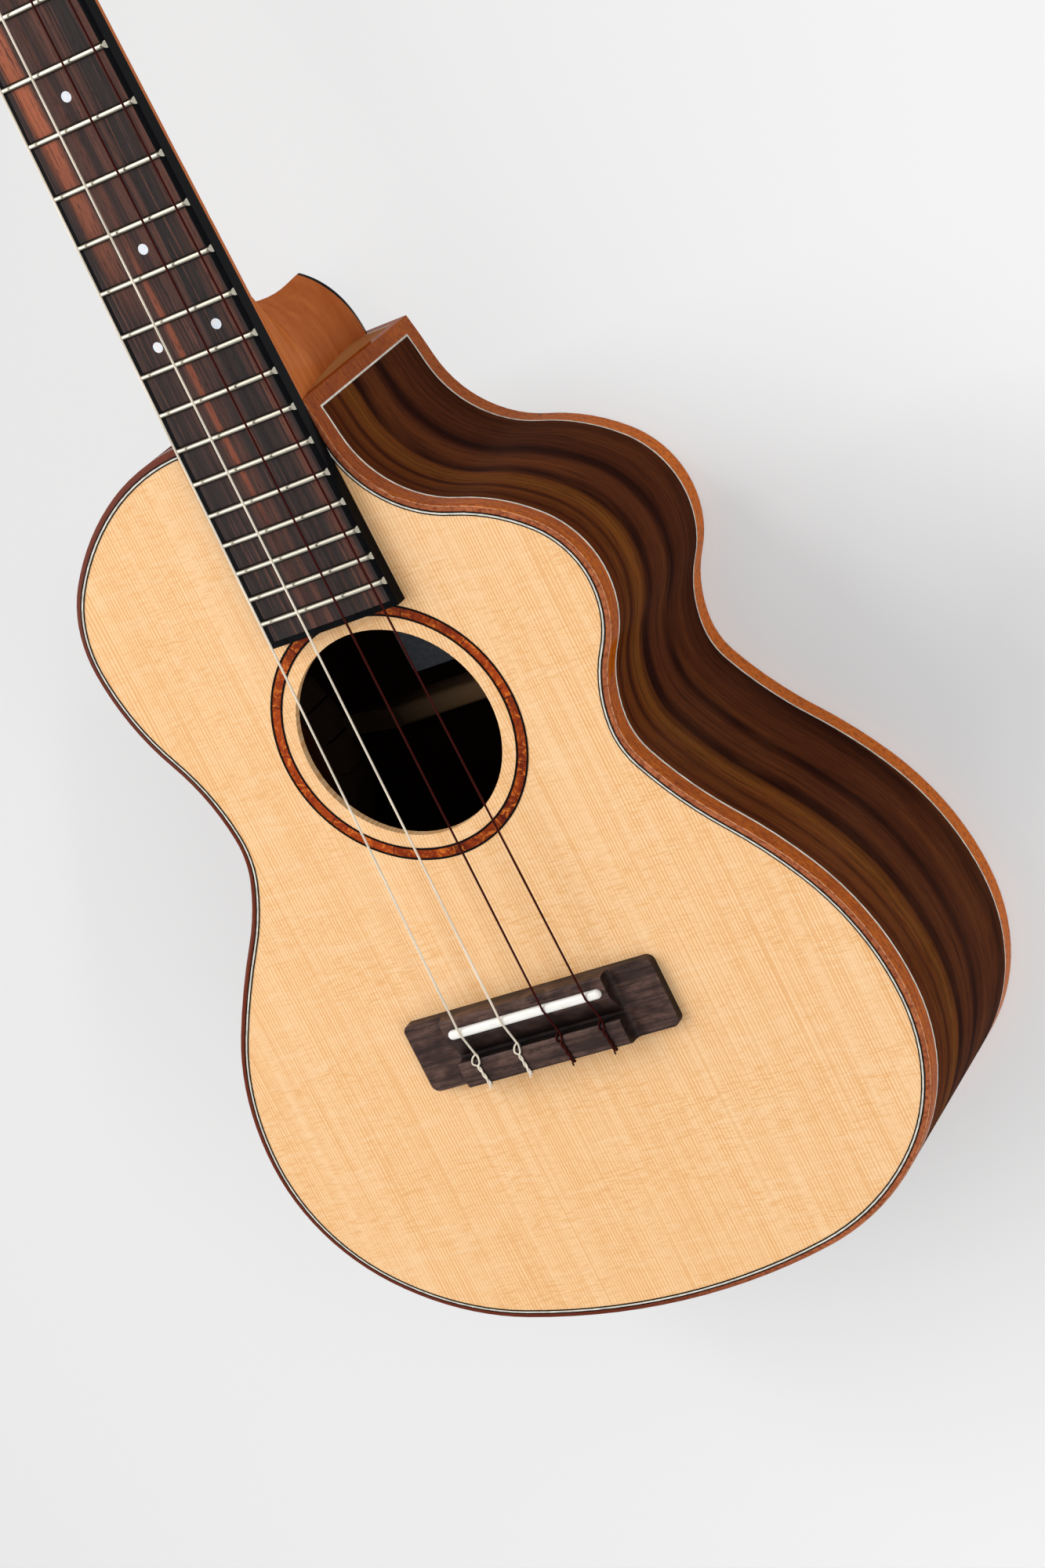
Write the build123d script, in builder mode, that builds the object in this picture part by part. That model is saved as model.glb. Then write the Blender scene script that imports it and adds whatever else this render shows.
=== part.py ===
from build123d import *
import math
import os

# Tenor ukulele with a soft cutaway and a tie bridge.
# +Z is up, out of the soundboard, +Y runs to the headstock and +X is the treble side.
# The flat back lies on z = 0, and the origin is in the middle of its length, on the centreline.
# The soundboard rises from the neck to the tail, so most pieces are drawn on the plane "deck",
# which is the soundboard's top, with its origin where the neck joins the body, at fret 14.
# Places along the instrument are counted from there, on the plane "floor" of the back as well.

os.makedirs("parts", exist_ok=True)

# ---- Scale and frets -------------------------------------------------------------------------
scale_length = 431.8
joint_fret = 14
fret_count = 20
saddle_setback = 2.0
fret_width = 2.2
fret_height = 1.15
fret_tang = 0.5
fret_tang_depth = 1.6
tang_gap = 0.3
fret_end_bevel = 30.0

# ---- Sound box -------------------------------------------------------------------------------
depth_neck = 74.0
depth_tail = 86.0
body_length = 301.2
side_thickness = 1.8
top_thickness = 2.5
back_thickness = 2.6
binding_height = 6.0
binding_round = 1.2
line_height = 0.7
purfling_black_width = 0.4
purfling_white_width = 0.5
purfling_depth = 1.4
strip_length = 4.4
strip_line = 0.6
strip_half = 6.0
lining_width = 5.0
lining_height = 13.0
kerf_width = 0.9
kerf_pitch = 11.0
kerf_web = 1.2
neck_block_length = 32.0
neck_block_half = 28.0
tail_block_length = 14.0
tail_block_half = 26.0
wedge_top_half = 4.5
wedge_bottom_half = 7.0
back_strip_width = 6.0
back_strip_depth = 1.0

# ---- Sound hole and rosette ------------------------------------------------------------------
hole_gap = 4.5
hole_radius = 33.0
rosette_inner = 37.3
rosette_outer = 41.2
rosette_line = 0.6
rosette_depth = 1.3

# ---- Braces ----------------------------------------------------------------------------------
brace_width = 7.0
brace_height = 11.0
brace_end_height = 3.0
brace_taper = 26.0
upper_brace_gap = 19.0
lower_brace_gap = 13.0
fan_width = 5.0
fan_height = 6.5
fan_end_height = 2.0
fan_start_gap = 1.5
fan_end_gap = 14.4
fan_spread = 25.0
fan_angle = 6.0
plate_length = 104.0
plate_width = 30.0
plate_thickness = 2.0
back_brace_shares = (0.146, 0.707)
back_brace_gap = 9.0

# ---- Label -----------------------------------------------------------------------------------
label_length = 50.0
label_width = 36.0
label_thickness = 0.2
label_x = -8.0
label_shift = 11.5

# ---- Fretboard and neck ----------------------------------------------------------------------
half_width_nut = 17.2
half_width_joint = 21.7
board_tail = 8.16
board_thickness = 5.3
board_radius = 420.0
board_binding = 2.0
nut_length = 4.5
nut_top = 7.6
nut_tail_drop = 1.6
neck_depth_nut = 13.0
neck_depth_heel = 15.0
neck_flank = 0.35
heel_floor_gap = 2.6
heel_cap_thickness = 1.4
heel_cap_rise = 0.25
heel_ridge = (0.8, 0.6)
tenon_half = 8.0
tenon_length = 16.0
tenon_top = 12.0
tenon_bottom = 58.0
joint_gap = 0.1
dot_radius = 1.6
side_dot_radius = 1.0
dot_depth = 0.8
octave_dot_x = 10.6

# Heel sections: depth below the deck, half width at the body, reach towards the nut.
heel_sections = (
    (0.0, 21.6, 64.0),
    (8.0, 19.4, 58.0),
    (15.0, 17.4, 47.0),
    (20.0, 15.9, 36.5),
    (26.0, 14.2, 30.0),
    (36.0, 11.8, 26.0),
    (50.0, 9.0, 24.4),
    (61.0, 8.4, 24.9),
    (72.0, 8.2, 26.0),
)

# ---- Headstock -------------------------------------------------------------------------------
head_angle = 12.0
head_drop = 1.5
head_thickness = 14.0
head_length = 126.0
head_wide = 32.0
head_wide_v = 36.0
head_narrow = 29.0
head_corner_v = 114.0
head_corner_round = 5.0
veneer_thickness = 1.8

# ---- Bridge and strings ----------------------------------------------------------------------
bridge_half = 44.7
bridge_front = 5.1
bridge_back = 18.2
bridge_wing = 3.0
bridge_center_half = 29.2
bridge_scoop = 2.0
bridge_front_lean = 0.4
bridge_edge = 0.6
bridge_corner = 2.6
saddle_width = 3.0
saddle_half = 27.4
saddle_top = 8.9
saddle_floor = 3.0
tie_front = 9.6
tie_top = 8.0
tie_hole_radius = 0.9
tie_hole_z = 6.0
string_radius = 0.35
string_pitch_saddle = 15.1
string_pitch_nut = 9.8
string_end_gap = 0.12
loop_gap = 0.25
loop_lean = 1.0
string_bends = [0.9, 0.9, 0.9, 1.5, 4.0, 4.0, 8.0, 2.9]
land_top = 7.3
saddle_lip = 0.9
channel_floor = 3.4
channel_length = 0.9
back_edge = 1.7
tie_chamfer = 0.6
saddle_round = 1.2

# ---- Tuning machines -------------------------------------------------------------------------
post_x = 19.5
post_vs = (42.0, 88.0)
post_radius = 3.0
post_waist = 2.5
post_above = 13.0
winding_height = 6.0
winding_turns = 3
bushing_radius = 4.6
bushing_flange = 6.2
bushing_flange_height = 1.4
bushing_length = 8.0
running_gap = 0.05
waist_half = 2.2
post_string_hole = 0.6
hub_radius = 3.8
hub_screw_radius = 2.2
hub_screw_height = 1.2
tuner_plate_thickness = 1.2
tuner_plate_length = 36.0
tuner_plate_width = 14.0
tuner_plate_shift = 3.0
wheel_teeth = 14
worm_pitch = 2.2
wheel_thickness = 3.0
wheel_depth = 4.8
worm_pitch_radius = 2.4
tooth_addendum = 0.62
tooth_dedendum = 0.80
tooth_thickness = 0.80
tooth_flank = 0.22
worm_length = 7.6
worm_shaft_radius = 1.5
ear_thickness = 2.0
ear_gap = 0.25
ear_half = 3.1
button_gap = 10.0
button_length = 13.0
button_radius = 8.0
button_thickness = 5.6
collar_length = 2.5
collar_radius = 2.6
plate_screw_spots = ((0, -11.0), (0, 17.0))
screw_radius = 1.1
screw_head_radius = 2.1
screw_head_height = 1.0
screw_length = 7.0

# ---- Derived planes and places ---------------------------------------------------------------
slope = (depth_tail - depth_neck) / body_length
joint_y = body_length / 2
deck = Plane(origin=(0, joint_y, depth_neck), x_dir=(1, 0, 0), z_dir=(0, slope, 1))
floor = Plane(origin=(0, joint_y, 0), x_dir=(1, 0, 0), z_dir=(0, 0, 1))
box_reach = depth_tail + 20.0
binding_inset = side_thickness
purfling_total = 2 * purfling_black_width + purfling_white_width
lining_inset = side_thickness + lining_width


def fret_y(number):
    """Distance of a fret from the neck joint, towards the nut."""
    return scale_length * (2 ** (-number / 12) - 2 ** (-joint_fret / 12))


def half_width(y):
    """Half width of the fretboard at y."""
    return half_width_joint + (half_width_nut - half_width_joint) * y / fret_y(0)


def across(y):
    """A plane across the neck at y, with its own y axis out of the deck."""
    return Plane(origin=deck.from_local_coords((0, y, 0)), x_dir=-deck.x_dir, z_dir=deck.y_dir)


def beside(x):
    """A plane along the neck at x, with its own x axis to the nut and its y axis out of the deck."""
    return Plane(origin=deck.from_local_coords((x, 0, 0)), x_dir=deck.y_dir, z_dir=deck.x_dir)


def save(piece, name):
    """Labels a piece and writes its STEP file."""
    piece.label = name
    export_step(piece, f"parts/{name}.step")


nut_y = fret_y(0)
saddle_y = nut_y - scale_length - saddle_setback
bridge_front_y = saddle_y + bridge_front
bridge_back_y = saddle_y - bridge_back
bridge_middle_y = (bridge_front_y + bridge_back_y) / 2
tie_front_y = saddle_y - tie_front
board_end_y = fret_y(fret_count) - board_tail
hole_y = board_end_y - hole_gap - hole_radius
label_y = hole_y + label_shift
upper_brace_y = hole_y + hole_radius + upper_brace_gap
lower_brace_y = hole_y - hole_radius - lower_brace_gap
tail_inner_y = -body_length + side_thickness + tail_block_length
fan_start_y = lower_brace_y - brace_width / 2 - fan_start_gap
fan_length = fan_start_y - tail_inner_y - fan_end_gap
back_brace_ys = [-share * body_length for share in back_brace_shares]
back_brace_ys.append(label_y - label_width / 2 - back_brace_gap)
head = Plane(
    origin=deck.from_local_coords((0, nut_y + nut_length, -head_drop)),
    x_dir=deck.x_dir,
    z_dir=deck.z_dir,
).rotated((-head_angle, 0, 0))


# ---- Plan of the body ------------------------------------------------------------------------
# The ends of the tangent arcs that make the outline, from the tail up each side, in hundredths of
# the body's length. The lower bout is the same on both sides. Each arc starts in the direction in
# which the one before it ends.
bout_points = ((18.09, -97.84), (31.64, -90.31), (38.31, -74.2), (34.1, -59.26))
treble_points = (
    (28.98, -52.29), (23.31, -43.92), (22.54, -40.01), (25.27, -32.8), (27.56, -26.16),
    (24.24, -18.59), (16.6, -14.41), (10.29, -10.19), (7.97, -4.65),
)
bass_points = (
    (-27.76, -50.07), (-24.07, -43.82), (-23.31, -38.94), (-26.03, -29.81),
    (-29.15, -18.26), (-26.13, -9.23), (-18.49, -2.82), (-8.96, 0),
)


def sized(points):
    """Points given in hundredths of the body's length, at its real size."""
    return tuple((x * body_length / 100, y * body_length / 100) for x, y in points)


def arc_chain(start, tangent, points):
    """Tangent arcs through the points, and the last of them."""
    for point in points:
        arc = TangentArc(start, point, tangent=tangent)
        start, tangent = arc @ 1, arc % 1
    return arc


def body_plan(inset):
    """The body's outline, drawn in by inset, as a flat sketch."""
    tail = (0, -body_length)
    with BuildSketch() as plan:
        with BuildLine():
            treble = arc_chain(
                tail, (1, 0), sized(bout_points + treble_points) + ((half_width_joint, 0),)
            )
            mirrored = tuple((-x, y) for x, y in bout_points)
            bass = arc_chain(tail, (-1, 0), sized(mirrored + bass_points))
            Line(bass @ 1, treble @ 1)
        make_face()
        if inset:
            offset(amount=-inset, kind=Kind.INTERSECTION)
    return plan.sketch


def body_layer(outer, inner, lower, upper):
    """A layer of the box between two plans and two planes. With no inner plan it is solid."""
    with BuildPart() as layer:
        with BuildSketch(deck):
            add(outer)
            if inner:
                add(inner, mode=Mode.SUBTRACT)
        extrude(amount=-box_reach)
        split(bisect_by=upper, keep=Keep.BOTTOM)
        split(bisect_by=lower, keep=Keep.TOP)
    return layer.part


plan_outer = body_plan(0)
plan_inner = body_plan(side_thickness)
plan_black = body_plan(binding_inset + purfling_black_width)
plan_white = body_plan(binding_inset + purfling_black_width + purfling_white_width)
plan_spruce = body_plan(binding_inset + purfling_total)
plan_lining = body_plan(lining_inset)
plan_kerf = body_plan(side_thickness + kerf_web)

under_top = deck.offset(-top_thickness)
over_back = floor.offset(back_thickness)

# ---- Blocks ----------------------------------------------------------------------------------
cavity = body_layer(plan_inner, None, over_back, under_top)


def block_room(y, half, length):
    """The room of a block of that length, towards the tail from y, through the whole depth."""
    with BuildPart() as room:
        with BuildSketch(deck):
            with Locations((0, y - length / 2)):
                Rectangle(2 * half, length)
        extrude(amount=-box_reach)
    return room.part


neck_block_room = block_room(0, neck_block_half, neck_block_length)
tail_block_room = block_room(tail_inner_y, tail_block_half, 2 * tail_block_length)

with BuildPart() as neck_block:
    add(cavity)
    add(neck_block_room, mode=Mode.INTERSECT)
    with BuildSketch(deck.offset(-tenon_top + joint_gap)):
        with Locations((0, -tenon_length / 2)):
            Rectangle(2 * (tenon_half + joint_gap), tenon_length + 2 * joint_gap)
    extrude(amount=-(tenon_bottom - tenon_top + 2 * joint_gap), mode=Mode.SUBTRACT)
save(neck_block.part, "neck_block")

with BuildPart() as tail_block:
    add(cavity)
    add(tail_block_room, mode=Mode.INTERSECT)
save(tail_block.part, "tail_block")

# ---- Linings ---------------------------------------------------------------------------------
def lining(lower, upper, name):
    """A kerfed lining: a bent strip that follows the side, sawn through to a thin web."""
    strip = body_layer(plan_inner, plan_lining, lower, upper)
    path = plan_kerf.face().outer_wire()
    count = int(path.length / kerf_pitch)
    with BuildPart() as kerfed:
        add(strip)
        with BuildSketch(deck) as cuts:
            for number in range(count):
                place = path.location_at((number + 0.5) / count)
                side = path.tangent_at((number + 0.5) / count)
                turn = math.degrees(math.atan2(side.Y, side.X))
                with Locations(Location(place.position, (0, 0, turn))):
                    Rectangle(kerf_width, 2 * lining_width)
            add(plan_kerf, mode=Mode.INTERSECT)
        extrude(amount=-box_reach, mode=Mode.SUBTRACT)
        add(neck_block_room, mode=Mode.SUBTRACT)
        add(tail_block_room, mode=Mode.SUBTRACT)
    save(kerfed.part, name)


lining(under_top.offset(-lining_height), under_top, "top_lining")
lining(over_back, over_back.offset(lining_height), "back_lining")

# ---- Sides, tail wedge and cutaway strip -----------------------------------------------------
line_top = deck.offset(-binding_height)
side_top = line_top.offset(-line_height)
line_bottom = floor.offset(binding_height)
side_bottom = line_bottom.offset(line_height)
rim = body_layer(plan_outer, plan_inner, side_bottom, side_top)

with BuildPart() as tail_wedge:
    add(rim)
    with BuildSketch(across(-body_length + 20)):
        with BuildLine():
            Polyline(
                (-wedge_top_half, 5), (wedge_top_half, 5), (wedge_bottom_half, -box_reach),
                (-wedge_bottom_half, -box_reach), close=True,
            )
        make_face()
    extrude(amount=-40, mode=Mode.INTERSECT)
save(tail_wedge.part, "tail_wedge")


def strip_band(start, length):
    """A block across the cutaway side, from start to start + length behind the corner."""
    with BuildPart() as band:
        with BuildSketch(deck):
            with Locations((half_width_joint + strip_half / 2, -start - length / 2)):
                Rectangle(2 * strip_half, length)
        extrude(amount=-box_reach)
    return band.part


rim_and_lines = body_layer(plan_outer, plan_inner, line_bottom, line_top)
strip_room = strip_band(0, strip_length)
with BuildPart() as cutaway_strip:
    add(rim_and_lines)
    add(strip_room, mode=Mode.INTERSECT)
save(cutaway_strip.part, "cutaway_strip")

with BuildPart() as strip_line_piece:
    add(rim)
    add(strip_band(strip_length, strip_line), mode=Mode.INTERSECT)

with BuildPart() as mortise:
    with BuildSketch(deck.offset(-tenon_top + joint_gap)):
        Rectangle(2 * (tenon_half + joint_gap), 4 * side_thickness)
    extrude(amount=-(tenon_bottom - tenon_top + 2 * joint_gap))


def side(sign, name):
    """One bent side, from the middle of the neck joint to the tail wedge."""
    with BuildPart() as bent:
        add(rim)
        with BuildSketch(deck):
            with Locations((sign * 100, -body_length / 2)):
                Rectangle(200, 2 * body_length)
        extrude(amount=-box_reach, mode=Mode.INTERSECT)
        add(tail_wedge.part, mode=Mode.SUBTRACT)
        add(mortise.part, mode=Mode.SUBTRACT)
        if sign > 0:
            add(strip_room, mode=Mode.SUBTRACT)
            add(strip_line_piece.part, mode=Mode.SUBTRACT)
    save(bent.part, name)


side(1, "side_treble")
side(-1, "side_bass")

with BuildPart() as side_lines:
    add(body_layer(plan_outer, plan_inner, side_top, line_top))
    add(body_layer(plan_outer, plan_inner, line_bottom, side_bottom))
    add(strip_room, mode=Mode.SUBTRACT)
    add(strip_line_piece.part)
save(side_lines.part, "side_lines")

# ---- Bindings --------------------------------------------------------------------------------
# The top binding's section, with its outer edge rounded, is swept round the outline.
rim_wire = plan_outer.moved(deck.location).face().outer_wire()
outward = (rim_wire % 0).cross(deck.z_dir)
with BuildPart() as top_binding:
    with BuildSketch(Plane(origin=rim_wire @ 0, x_dir=outward, z_dir=outward.cross(deck.z_dir))):
        with BuildLine():
            Polyline((0, -binding_round), (0, -binding_height), (-side_thickness, -binding_height))
            Polyline((-side_thickness, -binding_height), (-side_thickness, 0), (-binding_round, 0))
            RadiusArc((-binding_round, 0), (0, -binding_round), binding_round)
        make_face()
    sweep(path=rim_wire, transition=Transition.RIGHT)
save(top_binding.part, "top_binding")

back_binding = body_layer(plan_outer, plan_inner, floor, line_bottom)
save(back_binding, "back_binding")

# ---- Soundboard, purfling and rosette --------------------------------------------------------
purfling_floor = deck.offset(-purfling_depth)
purfling_white = body_layer(plan_black, plan_white, purfling_floor, deck)
with BuildPart() as purfling_black:
    add(body_layer(plan_inner, plan_black, purfling_floor, deck))
    add(body_layer(plan_white, plan_spruce, purfling_floor, deck))
save(purfling_white, "purfling_white")
save(purfling_black.part, "purfling_black")


def rosette_band(inner, outer):
    """A flat ring let into the soundboard round the sound hole."""
    with BuildPart() as band:
        with BuildSketch(deck):
            with Locations((0, hole_y)):
                Circle(outer)
                Circle(inner, mode=Mode.SUBTRACT)
        extrude(amount=-rosette_depth)
    return band.part


rosette_ring = rosette_band(rosette_inner + rosette_line, rosette_outer - rosette_line)
with BuildPart() as rosette_lines:
    add(rosette_band(rosette_inner, rosette_inner + rosette_line))
    add(rosette_band(rosette_outer - rosette_line, rosette_outer))
save(rosette_ring, "rosette_ring")
save(rosette_lines.part, "rosette_lines")

with BuildPart() as soundboard:
    add(body_layer(plan_inner, None, under_top, deck))
    add(body_layer(plan_inner, plan_spruce, purfling_floor, deck), mode=Mode.SUBTRACT)
    add(rosette_band(rosette_inner, rosette_outer), mode=Mode.SUBTRACT)
    with BuildSketch(deck):
        with Locations((0, hole_y)):
            Circle(hole_radius)
    extrude(amount=-top_thickness, mode=Mode.SUBTRACT)
save(soundboard.part, "soundboard")

# ---- Back plate and its centre strip ---------------------------------------------------------
strip_top = floor.offset(back_strip_depth)
with BuildPart() as back_strip:
    add(body_layer(plan_inner, None, floor, strip_top))
    with BuildSketch(floor):
        with Locations((0, -body_length / 2)):
            Rectangle(back_strip_width, 2 * body_length)
    extrude(amount=back_strip_depth, mode=Mode.INTERSECT)
save(back_strip.part, "back_strip")

with BuildPart() as back_plate:
    add(body_layer(plan_inner, None, floor, over_back))
    add(back_strip.part, mode=Mode.SUBTRACT)
save(back_plate.part, "back_plate")


# ---- Braces ----------------------------------------------------------------------------------
def bar(length, width, height, end_height, taper):
    """A brace along its own X, flat face on z = 0 and body below it, with hollowed ends."""
    half = length / 2
    with BuildPart() as brace:
        with BuildSketch(Plane.XZ):
            with BuildLine():
                flat = Line((-half + taper, -height), (half - taper, -height))
                right = Spline(
                    flat @ 1, (half, -end_height), tangents=((1, 0.3), (1, 0.1))
                )
                Line(right @ 1, (half, 0))
                Line((half, 0), (-half, 0))
                Line((-half, 0), (-half, -end_height))
                Spline((-half, -end_height), flat @ 0, tangents=((1, -0.1), (1, -0.3)))
            make_face()
        extrude(amount=width / 2, both=True)
        lower_edges = brace.edges().filter_by(Axis.X).group_by(Axis.Z)[0]
        fillet(lower_edges, width / 4)
    return brace.part


def span(y):
    """The room between the linings at y: its middle and its length."""
    with BuildSketch() as slice_at:
        add(plan_lining)
        with Locations((0, y)):
            Rectangle(4 * bridge_half + 100, brace_width, mode=Mode.INTERSECT)
    left = slice_at.sketch.bounding_box().min.X
    right = slice_at.sketch.bounding_box().max.X
    return (left + right) / 2, right - left


inner_room = body_layer(plan_lining, None, over_back, under_top)


def cross_brace(y, seat, up):
    """A ladder brace glued to the plate at seat, standing up or hanging down from it."""
    middle, length = span(y)
    profile = bar(length, brace_width, brace_height, brace_end_height, brace_taper)
    facing = Plane(origin=(middle, y, 0), x_dir=(1, 0, 0), z_dir=(0, 0, -1 if up else 1))
    with BuildPart() as fitted:
        add(profile.moved(seat.location * facing.location))
        add(inner_room, mode=Mode.INTERSECT)
    return fitted.part


with BuildPart() as transverse_braces:
    add(cross_brace(upper_brace_y, under_top, False))
    add(cross_brace(lower_brace_y, under_top, False))
save(transverse_braces.part, "transverse_braces")

with BuildPart() as back_braces:
    for brace_y in back_brace_ys:
        add(cross_brace(brace_y, over_back, True))
save(back_braces.part, "back_braces")

with BuildPart() as bridge_plate:
    with BuildSketch(under_top):
        with Locations((0, bridge_middle_y)):
            RectangleRounded(plate_length, plate_width, 4)
    extrude(amount=-plate_thickness)
save(bridge_plate.part, "bridge_plate")

fan_bar = bar(fan_length, fan_width, fan_height, fan_end_height, brace_taper)
with BuildPart() as fan_braces:
    for place in (-1, 0, 1):
        spot = Location(
            (place * fan_spread, fan_start_y - fan_length / 2, 0), (0, 0, 90 + place * fan_angle)
        )
        add(fan_bar.moved(under_top.location * spot))
    add(bridge_plate.part, mode=Mode.SUBTRACT)
save(fan_braces.part, "fan_braces")

with BuildPart() as label:
    with BuildSketch(over_back):
        with Locations((label_x, label_y)):
            RectangleRounded(label_length, label_width, 1.5)
    extrude(amount=label_thickness)
save(label.part, "label")


# ---- Tuning machines -------------------------------------------------------------------------
# A machine is drawn with its post on Z and the back of the headstock on z = 0, for the treble side.
# Its worm lies along X, on the side of the post towards the end of the headstock.
wheel_radius = wheel_teeth * worm_pitch / (2 * math.pi)
worm_offset = wheel_radius + worm_pitch_radius
worm_outer = worm_pitch_radius + tooth_addendum
worm_root = worm_pitch_radius - tooth_dedendum
lead_angle = math.atan(worm_pitch / (2 * math.pi * worm_pitch_radius))
wheel_top = -wheel_depth + wheel_thickness / 2
wheel_low = -wheel_depth - wheel_thickness / 2
ear_inner = worm_length / 2 + ear_gap
ear_outer = ear_inner + ear_thickness
post_hole = post_radius + running_gap
face_z = head_thickness + veneer_thickness


def wheel_profile(turn):
    """The wheel's teeth as a flat outline, turned by turn radians from meshing place."""
    tip = (wheel_radius + tooth_addendum, tooth_thickness / 2 - tooth_flank * tooth_addendum)
    root = (wheel_radius - tooth_dedendum, tooth_thickness / 2 + tooth_flank * tooth_dedendum)
    points = []
    for tooth in range(wheel_teeth):
        middle = math.pi / 2 + turn + 2 * math.pi * tooth / wheel_teeth
        for (radius, half), side in ((root, -1), (tip, -1), (tip, 1), (root, 1)):
            angle = middle + side * half / radius
            points.append((radius * math.cos(angle), radius * math.sin(angle)))
    return points


with BuildPart() as wheel:
    half_turn = wheel_thickness * math.tan(lead_angle) / wheel_radius / 2
    for z, turn in ((wheel_low, -half_turn), (wheel_top, half_turn)):
        with BuildSketch(Plane.XY.offset(z)):
            with BuildLine():
                Polyline(*wheel_profile(turn), close=True)
            make_face()
    loft(ruled=True)

with BuildPart() as post:
    with BuildSketch(Plane.XZ):
        with BuildLine():
            Polyline(
                (0, wheel_low - hub_screw_height), (hub_screw_radius, wheel_low - hub_screw_height),
                (hub_screw_radius, wheel_low), (hub_radius, wheel_low),
                (hub_radius, -tuner_plate_thickness - running_gap),
                (post_radius, -tuner_plate_thickness - running_gap),
                (post_radius, face_z + winding_height - waist_half),
                (post_waist, face_z + winding_height - waist_half + 0.5),
                (post_waist, face_z + winding_height + waist_half - 0.5),
                (post_radius, face_z + winding_height + waist_half),
                (post_radius, face_z + post_above - 0.8),
                (post_radius - 0.8, face_z + post_above), (0, face_z + post_above), close=True,
            )
        make_face()
    revolve(axis=Axis.Z)
    add(wheel.part)
    with BuildSketch(Plane.XZ):
        with Locations((0, face_z + winding_height + waist_half - 1.2)):
            Circle(post_string_hole)
    extrude(amount=2 * post_radius, both=True, mode=Mode.SUBTRACT)

with BuildPart() as winding:
    with BuildSketch(Plane.XZ):
        with Locations((post_waist + string_radius, face_z + winding_height)):
            with GridLocations(0, 2 * string_radius, 1, winding_turns):
                Circle(string_radius)
        with Locations((post_waist + string_radius / 2, face_z + winding_height)):
            Rectangle(string_radius, 2 * string_radius * (winding_turns - 1))
    revolve(axis=Axis.Z)

# The thread starts on +X of the worm's own axis. Turned by worm_phase, it fills a gap of the wheel.
thread_run = worm_length - worm_pitch / 2
worm_phase = 360 * (worm_pitch / 4 - thread_run / 2) / worm_pitch
thread_base = worm_root - 0.15
with BuildPart() as worm_thread:
    with BuildLine() as thread_path:
        Helix(worm_pitch, thread_run, thread_base)
    with BuildSketch(Plane(thread_path.line @ 0, x_dir=(1, 0, 0), z_dir=thread_path.line % 0)):
        with BuildLine():
            crest_x = worm_outer - thread_base
            base_half = tooth_thickness / 2 + tooth_flank * tooth_dedendum
            crest_half = tooth_thickness / 2 - tooth_flank * tooth_addendum
            Polyline(
                (0, -base_half), (crest_x, -crest_half), (crest_x, crest_half), (0, base_half), close=True
            )
        make_face()
    sweep(path=thread_path.line, is_frenet=True)
    with Locations((0, 0, thread_run / 2)):
        Cylinder(worm_root, worm_length)

worm_place = Location((0, worm_offset, -wheel_depth), (0, 90, 0))
thread_place = Location((0, 0, -thread_run / 2), (0, 0, worm_phase))
button_start = head_wide - post_x + button_gap
with BuildPart() as worm:
    add(worm_thread.part.moved(worm_place * thread_place))
    with BuildSketch(Plane.YZ):
        with Locations((worm_offset, -wheel_depth)):
            Circle(worm_shaft_radius)
    extrude(amount=-(ear_outer + 0.6))
    with BuildSketch(Plane.YZ):
        with Locations((worm_offset, -wheel_depth)):
            Circle(worm_shaft_radius)
    extrude(amount=button_start + button_length * 0.6)

with BuildPart() as button:
    with BuildSketch(Plane.XY.offset(-wheel_depth)):
        with Locations((button_start + button_length / 2, worm_offset)):
            Ellipse(button_length / 2, button_radius)
    extrude(amount=button_thickness / 2, both=True)
    fillet(button.edges().filter_by(GeomType.ELLIPSE), button_thickness / 2.6)
    with BuildSketch(Plane.YZ.offset(button_start - collar_length)):
        with Locations((worm_offset, -wheel_depth)):
            Circle(collar_radius)
    extrude(amount=collar_length + 2)
    add(worm.part, mode=Mode.SUBTRACT)

with BuildPart() as tuner_plate:
    with BuildSketch(Plane.XY.offset(-tuner_plate_thickness)):
        with Locations((0, tuner_plate_shift)):
            SlotOverall(tuner_plate_length, tuner_plate_width, rotation=90)
    extrude(amount=tuner_plate_thickness)
    for start in (-ear_outer, ear_inner):
        with BuildSketch(Plane.YZ.offset(start)):
            with Locations((worm_offset, -wheel_depth)):
                Circle(ear_half)
            with Locations((worm_offset, -(wheel_depth + tuner_plate_thickness / 2) / 2)):
                Rectangle(2 * ear_half, wheel_depth - tuner_plate_thickness / 2)
        extrude(amount=ear_thickness)
    with BuildSketch(Plane.YZ):
        with Locations((worm_offset, -wheel_depth)):
            Circle(worm_shaft_radius + running_gap)
    extrude(amount=ear_outer + 1, both=True, mode=Mode.SUBTRACT)
    with BuildSketch(Plane.XY):
        Circle(post_hole)
        with Locations(*plate_screw_spots):
            Circle(screw_radius)
    extrude(amount=-tuner_plate_thickness, mode=Mode.SUBTRACT)

with BuildPart() as tuner_screw_pair:
    with BuildSketch(Plane.XY.offset(-tuner_plate_thickness)):
        with Locations(*plate_screw_spots):
            Circle(screw_head_radius)
    extrude(amount=-screw_head_height)
    fillet(tuner_screw_pair.faces().sort_by(Axis.Z)[:2].edges(), screw_head_height * 0.6)
    with BuildSketch(Plane.XY.offset(-tuner_plate_thickness)):
        with Locations(*plate_screw_spots):
            Circle(screw_radius)
    extrude(amount=tuner_plate_thickness + screw_length)

with BuildPart() as bushing:
    with BuildSketch(Plane.XY.offset(face_z - bushing_length)):
        Circle(bushing_radius)
    extrude(amount=bushing_length)
    with BuildSketch(Plane.XY.offset(face_z)):
        Circle(bushing_flange)
    extrude(amount=bushing_flange_height, taper=30)
    with BuildSketch(Plane.XY.offset(face_z - bushing_length)):
        Circle(post_hole)
    extrude(amount=2 * bushing_length, mode=Mode.SUBTRACT)


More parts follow.
